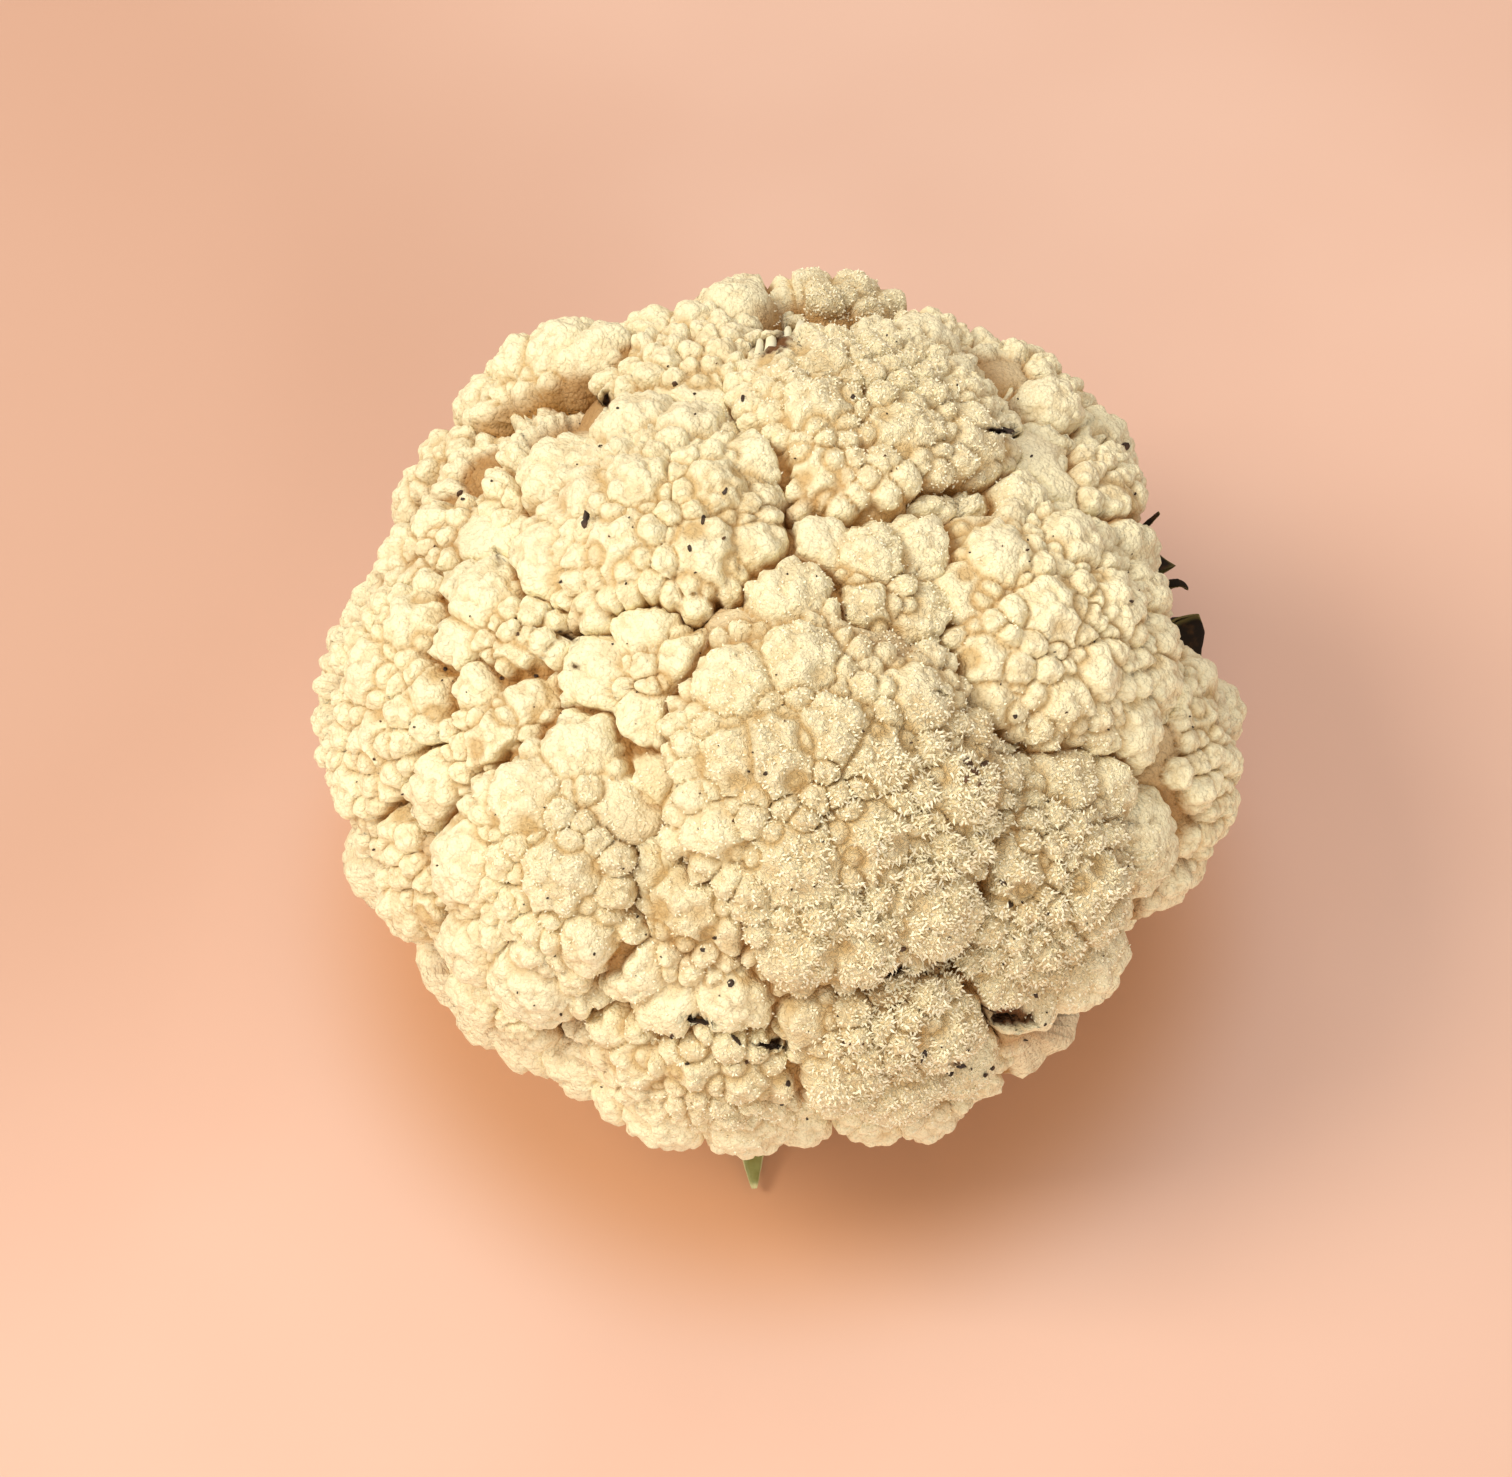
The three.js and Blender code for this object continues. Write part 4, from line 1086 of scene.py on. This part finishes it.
class Paint(Shading):
    """A material with one Principled shader."""

    def __init__(self, name, roughness):
        self.material = bpy.data.materials.new(name)
        self.material.use_nodes = True
        super().__init__(self.material.node_tree)
        self.shader = self.tree.nodes["Principled BSDF"]
        self.shader.inputs["Roughness"].default_value = roughness
        self.place = self.tree.nodes.new("ShaderNodeTexCoord").outputs["Object"]

    def effect(self, tree, numbers, colours):
        """The colour that a node group puts out, from its inputs by name."""
        made = self.node("ShaderNodeGroup", node_tree=tree)
        for label, value in numbers.items():
            self.feed(made.inputs[label], value)
        for label, colour in colours.items():
            self.feed(made.inputs[label],
                      colour if isinstance(colour, bpy.types.NodeSocket) else (*colour, 1))
        return made.outputs["Colour"]

    def patches(self, size, low, high, main, patch, strength=1.0):
        numbers = {"Place": self.place, "Size": size, "From": low, "To": high, "Strength": strength}
        return self.effect(PATCHES, numbers, {"Main": main, "Patch": patch})

    def leaf_edge(self, low, high, main, rim):
        numbers = {"Edge": self.attribute("edge"), "From": low, "To": high}
        return self.effect(LEAF_EDGES, numbers, {"Main": main, "Rim": rim})

    def colour(self, value):
        self.feed(self.shader.inputs["Base Color"], value)

    def attribute(self, name):
        return self.node("ShaderNodeAttribute", attribute_name=name).outputs["Fac"]

    def noise(self, size, detail=3.0):
        return self.node("ShaderNodeTexNoise", {
            "Vector": self.place, "Scale": 1 / size, "Detail": detail}).outputs[0]

    def cells(self, size):
        return self.node("ShaderNodeTexVoronoi", {
            "Vector": self.place, "Scale": 1 / size}, feature="F1")

    def distance_to(self, point):
        made = self.node("ShaderNodeVectorMath", {0: self.place, 1: point}, operation="DISTANCE")
        return made.outputs["Value"]

    def bump(self, height, strength, distance):
        made = self.node("ShaderNodeBump", {
            "Height": height, "Strength": strength, "Distance": distance})
        self.feed(self.shader.inputs["Normal"], made.outputs[0])


def domes(paint, size):
    """1 at the middle of each cell, falling round to 0 at its edge."""
    share = paint.math("DIVIDE", paint.cells(size).outputs["Distance"], 0.68)
    square = paint.math("MULTIPLY", share, share)
    return paint.math("SQRT", paint.math("SUBTRACT", 1.0, square, clamp=True))


def filaments(paint, size, width):
    """Short wandering lines: 1 along them and 0 between them."""
    level = paint.math("ABSOLUTE", paint.math("SUBTRACT", paint.noise(size, 0.0), 0.5))
    return paint.ramp(level, width, 0.0)


def curd_bumps(paint, kernels, fuzz, lines):
    """How high the kernels, grains and filaments stand at each point."""
    up = paint.math("MULTIPLY", kernels, 0.6)
    up = paint.math("ADD", up, paint.math("MULTIPLY", domes(paint, 0.6 * MM), 0.4))
    up = paint.math("ADD", up, paint.math("MULTIPLY", paint.math("MULTIPLY", fuzz, lines), 0.7))
    return paint.math("ADD", up, paint.math("MULTIPLY", paint.noise(0.5 * MM, 2.0), 0.25))


def curd_paint():
    paint = Paint("cream curd", 0.75)
    fuzz = paint.ramp(paint.attribute("fuzz"), 0.05, 0.7)
    kernels = domes(paint, 1.2 * MM)
    lines = paint.math("MAXIMUM", filaments(paint, 0.9 * MM, 0.09), filaments(paint, 1.3 * MM, 0.06))
    # Painted shade on the skin between the filaments
    shade_between_lines = paint.math("MULTIPLY", fuzz, paint.math("SUBTRACT", 1.0, lines))
    ragged = paint.ramp(paint.noise(1.6 * MM), 0.35, 0.6)
    worn = paint.math("MULTIPLY", paint.attribute("worn"), ragged)
    # Worn patches, then painted shade: between the filaments and granules, in the valleys between
    # buds, the creases between lobes, sunken skin, the clefts where florets meet and the dark gaps
    wear_and_painted_shade = [
        (worn, 0.75, WORN_TAN),
        (shade_between_lines, 0.4, CREASE_SHADE_TAN),
        (paint.ramp(kernels, 0.4, 0.0), 0.12, CREASE_SHADE_TAN),
        (paint.ramp(paint.attribute("valley"), 0.35, 1.0), 0.3, CREASE_SHADE_TAN),
        (paint.ramp(paint.attribute("crease"), 0.12, 0.9), 0.75, CREASE_SHADE_TAN),
        (paint.ramp(paint.attribute("sunken"), 0.0, 1.0), 0.85, CLEFT_SHADE_TAN),
        (paint.ramp(paint.attribute("cleft"), 0.4, 1.0), 0.9, CLEFT_SHADE_TAN),
        (paint.ramp(paint.attribute("gap"), 0.4, 3.5), 1.0, GAP_SHADE_BROWN),
    ]
    colour = paint.patches(14 * MM, 0.42, 0.68, CREAM, CREAM_GREYER, 0.55)
    for mask, strength, over in wear_and_painted_shade:
        colour = paint.mix(paint.math("MULTIPLY", mask, strength), colour, over)
    paint.colour(colour)
    paint.bump(curd_bumps(paint, kernels, fuzz, lines), 0.75, 0.5 * MM)
    return paint.material


def hair_paint():
    paint = Paint("fine hairs", 0.6)
    paint.colour(paint.patches(2.5 * MM, 0.35, 0.7, HAIR_CREAM, HAIR_GREYER))
    return paint.material


def stem_paint():
    paint = Paint("pale green stem", 0.5)
    paint.colour(paint.patches(9 * MM, 0.35, 0.7, STEM_PALE, STEM_GREEN))
    paint.bump(paint.noise(1.5 * MM), 0.3, 0.3 * MM)
    return paint.material


def green_leaf_paint():
    paint = Paint("olive leaf base", 0.5)
    colour = paint.patches(4 * MM, 0.4, 0.65, LEAF_OLIVE, LEAF_OLIVE_PALER)
    paint.colour(paint.leaf_edge(0.55, 0.95, colour, LEAF_EDGE))
    paint.bump(paint.noise(0.8 * MM), 0.3, 0.2 * MM)
    return paint.material


def withered_shaded_leaf_paint():
    paint = Paint("dark withered leaf", 0.8)
    paint.shader.inputs["Specular IOR Level"].default_value = 0.2
    # Withered dark leaf, painted near black for the shade under the head
    colour = paint.patches(3.5 * MM, 0.5, 0.75, LEAF_WITHERED_SHADED, LEAF_BROWN, 0.7)
    paint.colour(paint.leaf_edge(0.85, 1.0, colour, LEAF_DARK_EDGE))
    paint.bump(paint.noise(0.9 * MM), 0.4, 0.25 * MM)
    return paint.material


def speck_and_shade_paint():
    paint = Paint("dark speck", 0.6)
    paint.colour(paint.patches(8 * MM, 0.5, 0.65, SPECK_AND_SHADE_BROWN, SPECK_AND_SHADE_PALER))
    return paint.material


def core_paint():
    paint = Paint("inside of the head", 0.8)
    # Painted shade: the core's upper side is dark brown
    deep = paint.ramp(paint.attribute("deep"), 0.3, 0.7)
    pale = paint.patches(6 * MM, 0.35, 0.7, STEM_PALE, CORE_CREAM)
    paint.colour(paint.mix(deep, pale, GAP_SHADE_BROWN))
    paint.bump(paint.noise(1.5 * MM), 0.4, 0.4 * MM)
    return paint.material


def floor_paint():
    paint = Paint("pale floor", 0.9)
    colour = paint.patches(180 * MM, 0.3, 0.7, FLOOR_COLOUR, FLOOR_PALER)
    # Painted shadow on the floor at the left
    shade = paint.ramp(paint.distance_to(SHADE_PLACE), *SHADE_REACH)
    colour = paint.mix(paint.math("MULTIPLY", shade, 0.7), colour, FLOOR_SHADED)
    # Painted warm shadow on the floor round the head
    shadow_near_head = paint.ramp(paint.distance_to(WARM_SHADOW_PLACE), *WARM_SHADOW_REACH)
    paint.colour(paint.mix(paint.math("MULTIPLY", shadow_near_head, 0.85), colour, FLOOR_WARM_SHADOW))
    return paint.material


# The curd
def piece_of(name):
    """The piece that a seen floret belongs to, by the side that it is on."""
    if name.startswith("top"):
        return "florets_top"
    if name.startswith("bottom"):
        return "florets_bottom"
    if name in ("lower_left", "low_nub", "low_pit") or name.startswith("left"):
        return "florets_left"
    if name == "lower_right" or name.startswith("right"):
        return "florets_right"
    return "florets_middle"


def build_curd():
    curd = curd_paint()
    hairs = hair_paint()
    granules = granule_tree()
    hairy = hair_tree()
    groups = {}
    for name, (rise, *lobes) in SEEN_FLORETS.items():
        groups.setdefault(piece_of(name), []).append(seen_floret(rise, lobes))
    hidden = hidden_florets()
    groups["florets_back"] = hidden[:BACK_FLORETS]
    groups["florets_rim"] = hidden[BACK_FLORETS:]
    every_floret = [floret for florets in groups.values() for floret in florets]
    keep_own_fillers(every_floret)
    seed = 1
    skins = []
    for name, florets in groups.items():
        plain = florets_object(name + "_plain", florets, every_floret, seed)
        seed += len(florets)
        skin = apply_tree(plain, granules, name, curd)
        hair = apply_tree(skin, hairy, name.replace("florets", "hairs"), hairs, {"Seed": seed})
        bpy.data.objects.remove(plain)
        skins.append(skin_tree(skin))
        finish_piece(skin, "curd")
        if hair.data.polygons:
            finish_piece(hair, "curd")
        else:
            bpy.data.objects.remove(hair)
    build_specks_and_gap_shade(skins)
    build_gap_stalks()


def skin_tree(skin):
    """A tree of a skin's triangles, to cast rays at."""
    mesh = skin.data
    corners = [vertex.co for vertex in mesh.vertices]
    return BVHTree.FromPolygons(corners, [polygon.vertices for polygon in mesh.polygons])


def surface_at(skins, x, y):
    """The point of the skins that shows at a pixel of the picture, and its normal, in metres."""
    middle = Vector(HEAD_MIDDLE * MM)
    eye = middle + Vector(TOWARDS_EYE) * EYE_DISTANCE * MM
    target = middle + Vector(PICTURE_UP) * (PICTURE_MIDDLE[1] - y) / PIXELS_PER_MM * MM
    target.x += (x - PICTURE_MIDDLE[0]) / PIXELS_PER_MM * MM
    way = (target - eye).normalized()
    hits = [skin.ray_cast(eye, way) for skin in skins]
    hits = [hit for hit in hits if hit[0] is not None]
    if not hits:
        return None
    point, normal, _, _ = min(hits, key=lambda hit: hit[3])
    return np.array(point), np.array(normal)


def scale_skin(skins, x, y, half_width, half_height, turn, rings, spokes):
    """The points of the skins, in metres, under a ragged scale, ring by ring, with normals."""
    middle, normal = surface_at(skins, x, y)
    a = math.radians(turn)
    found = [(middle, normal)]
    for ring in range(1, rings + 1):
        for spoke in range(spokes):
            angle = 2 * math.pi * spoke / spokes
            ragged = 1 + 0.55 * (chance(spoke * 3.1 + x + y) - 0.5)
            aside = half_width * math.cos(angle) * ragged * ring / rings
            down = half_height * math.sin(angle) * ragged * ring / rings
            px = x + aside * math.cos(a) - down * math.sin(a)
            py = y + aside * math.sin(a) + down * math.cos(a)
            point = middle + (PICTURE_ACROSS * (px - x) - PICTURE_UP * (py - y)) / PIXELS_PER_MM * MM
            seen = surface_at(skins, px, py)
            if seen and abs((seen[0] - middle) @ TOWARDS_EYE) < SPECK_LEVEL * MM:
                point, normal = seen
            found.append((point, normal))
    return found


def scale_faces(rings, spokes):
    """The triangles of a closed scale whose upper points come first and then its lower ones."""
    faces = []
    for spoke in range(spokes):
        after = (spoke + 1) % spokes
        faces.append((0, 1 + spoke, 1 + after))
        for ring in range(rings - 1):
            first = 1 + ring * spokes
            a, b, c, d = first + spoke, first + after, first + spokes + after, first + spokes + spoke
            faces += [(a, d, c), (a, c, b)]
    count = 1 + rings * spokes
    under = [(a + count, c + count, b + count) for a, b, c in faces]
    last = 1 + (rings - 1) * spokes
    rim = [(last + i, last + (i + 1) % spokes) for i in range(spokes)]
    sides = [(a, a + count, b + count) for a, b in rim] + [(a, b + count, b) for a, b in rim]
    return np.array(faces + under + sides)


def dark_patch(skins, x, y, half_width, half_height, turn, rings, spokes):
    """A thin ragged dark scale that follows the skin, as a speck or as painted shade in a gap, or
    None where no skin shows.
    """
    if surface_at(skins, x, y) is None:
        return None
    found = scale_skin(skins, x, y, half_width, half_height, turn, rings, spokes)
    upper = [point + normal * SPECK_THICKNESS * MM for point, normal in found]
    lower = [point - normal * SPECK_DEPTH * MM for point, normal in found]
    points = np.array(upper + lower) / MM
    return points, outwards(points, scale_faces(rings, spokes)), np.zeros(len(points))


def build_specks_and_gap_shade(skins):
    # Dark sheets of painted shade in the slits and gaps, then the dark specks
    parts = [dark_patch(skins, *numbers, 4, 22) for numbers in SHADE_SLITS]
    parts += [dark_patch(skins, *numbers, 2, 9) for numbers in SPECKS]
    for i in range(SCATTERED_SPECKS):
        far = math.sqrt(chance(i * 3 + 0.2))
        angle = 2 * math.pi * chance(i * 5 + 0.4)
        x = PICTURE_MIDDLE[0] + SPECKS_SPREAD[0] * far * math.cos(angle)
        y = PICTURE_MIDDLE[1] + SPECKS_SPREAD[1] * far * math.sin(angle)
        size = 0.6 + 0.8 * chance(i * 7 + 0.6) ** 3
        parts.append(dark_patch(skins, x, y, size, size * (0.8 + chance(i)), 90 * chance(i), 1, 6))
    points, faces, _ = joined([part for part in parts if part])
    piece = mesh_object("dark_specks_and_gap_shade", points, faces)
    piece.data.materials.append(speck_and_shade_paint())
    finish_piece(piece, "curd")


def build_gap_stalks():
    parts = []
    for i, (foot_x, foot_y, top_x, top_y) in enumerate(GAP_STALKS):
        middle = ((foot_x + top_x) / 2 + STALK_BEND, (foot_y + top_y) / 2)
        places = [(foot_x, foot_y), middle, (top_x, top_y)]
        corners = [point_seen(*place, height) for place, height in zip(places, STALK_HEIGHTS)]

        def section(side, t):
            thick = (0.75 + 0.3 * chance(i)) * (1.2 - 0.4 * t) * rounded_end(t, 0.15)
            return thick * np.sin(side), thick * np.cos(side) * (1 + 0.1 * np.sin(9 * t + i))

        points, faces = rod(corners, 12, 14, section)
        parts.append((points, faces, np.zeros(len(points))))
    points, faces, deep = joined(parts)
    piece = mesh_object("gap_stalks", points, faces, {"deep": deep})
    piece.data.materials.append(core_paint())
    finish_piece(piece, "curd")


def build_core():
    points, faces, deep = core_skin()
    core = mesh_object("head_core", points, faces, {"deep": deep})
    core.data.materials.append(core_paint())
    finish_piece(core, "curd")


def build_stem():
    points, faces, _ = joined([trunk()] + [branch(i) for i in range(BRANCHES)])
    stem = mesh_object("stem_trunk", points, faces)
    stem.data.materials.append(stem_paint())
    finish_piece(stem, "stem")


def build_leaves():
    green = green_leaf_paint()
    dark = withered_shaded_leaf_paint()
    for seed, (node, blades) in enumerate(LEAF_REMAINS.items()):
        points, faces, rim = joined([leaf_blade(form, seed + i) for i, form in enumerate(blades)])
        piece = mesh_object(node + "_fine", points, faces, {"edge": rim})
        piece.data.materials.append(green if node == "leaf_base_front" else dark)
        finish_piece(piece, node)


def finish_piece(piece, node):
    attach(piece, "root")
    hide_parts(node)


# Floor, light and camera
def build_stage():
    mesh = bpy.data.meshes.new("floor")
    corners = [(x * FLOOR_HALF, y * FLOOR_HALF, 0) for x, y in ((-1, -1), (1, -1), (1, 1), (-1, 1))]
    mesh.from_pydata(corners, [], [(0, 1, 2, 3)])
    floor = bpy.data.objects.new("floor", mesh)
    mesh.materials.append(floor_paint())
    bpy.context.scene.collection.objects.link(floor)


def add_light(name, place, size, power, colour):
    lamp = bpy.data.lights.new(name, "AREA")
    lamp.size = size
    lamp.energy = power
    lamp.color = colour
    obj = bpy.data.objects.new(name, lamp)
    obj.location = place
    aim = Vector(HEAD_MIDDLE * MM) - Vector(place)
    obj.rotation_euler = aim.to_track_quat("-Z", "Y").to_euler()
    bpy.context.scene.collection.objects.link(obj)


def build_light():
    world = bpy.data.worlds.new("soft room")
    world.use_nodes = True
    background = world.node_tree.nodes["Background"]
    background.inputs["Color"].default_value = ROOM_COLOUR
    background.inputs["Strength"].default_value = ROOM_STRENGTH
    bpy.context.scene.world = world
    for name, numbers in LIGHTS.items():
        add_light(name, *numbers)
    view = bpy.context.scene.view_settings
    view.view_transform = "Standard"
    view.look = "None"


def build_camera():
    data = bpy.data.cameras.new("camera")
    data.sensor_width = SENSOR_WIDTH
    data.lens = EYE_DISTANCE * PIXELS_PER_MM / PICTURE_SIZE[0] * SENSOR_WIDTH
    data.shift_x = (PICTURE_SIZE[0] / 2 - PICTURE_MIDDLE[0]) / PICTURE_SIZE[0]
    data.shift_y = (PICTURE_MIDDLE[1] - PICTURE_SIZE[1] / 2) / PICTURE_SIZE[0]
    data.clip_start = 0.01
    camera = bpy.data.objects.new("camera", data)
    back = Vector(TOWARDS_EYE)
    camera.location = Vector(HEAD_MIDDLE * MM) + back * EYE_DISTANCE * MM
    camera.rotation_euler = (-back).to_track_quat("-Z", "Y").to_euler()
    bpy.context.scene.collection.objects.link(camera)
    bpy.context.scene.camera = camera


build_curd()
build_core()
build_stem()
build_leaves()
build_stage()
build_light()
build_camera()
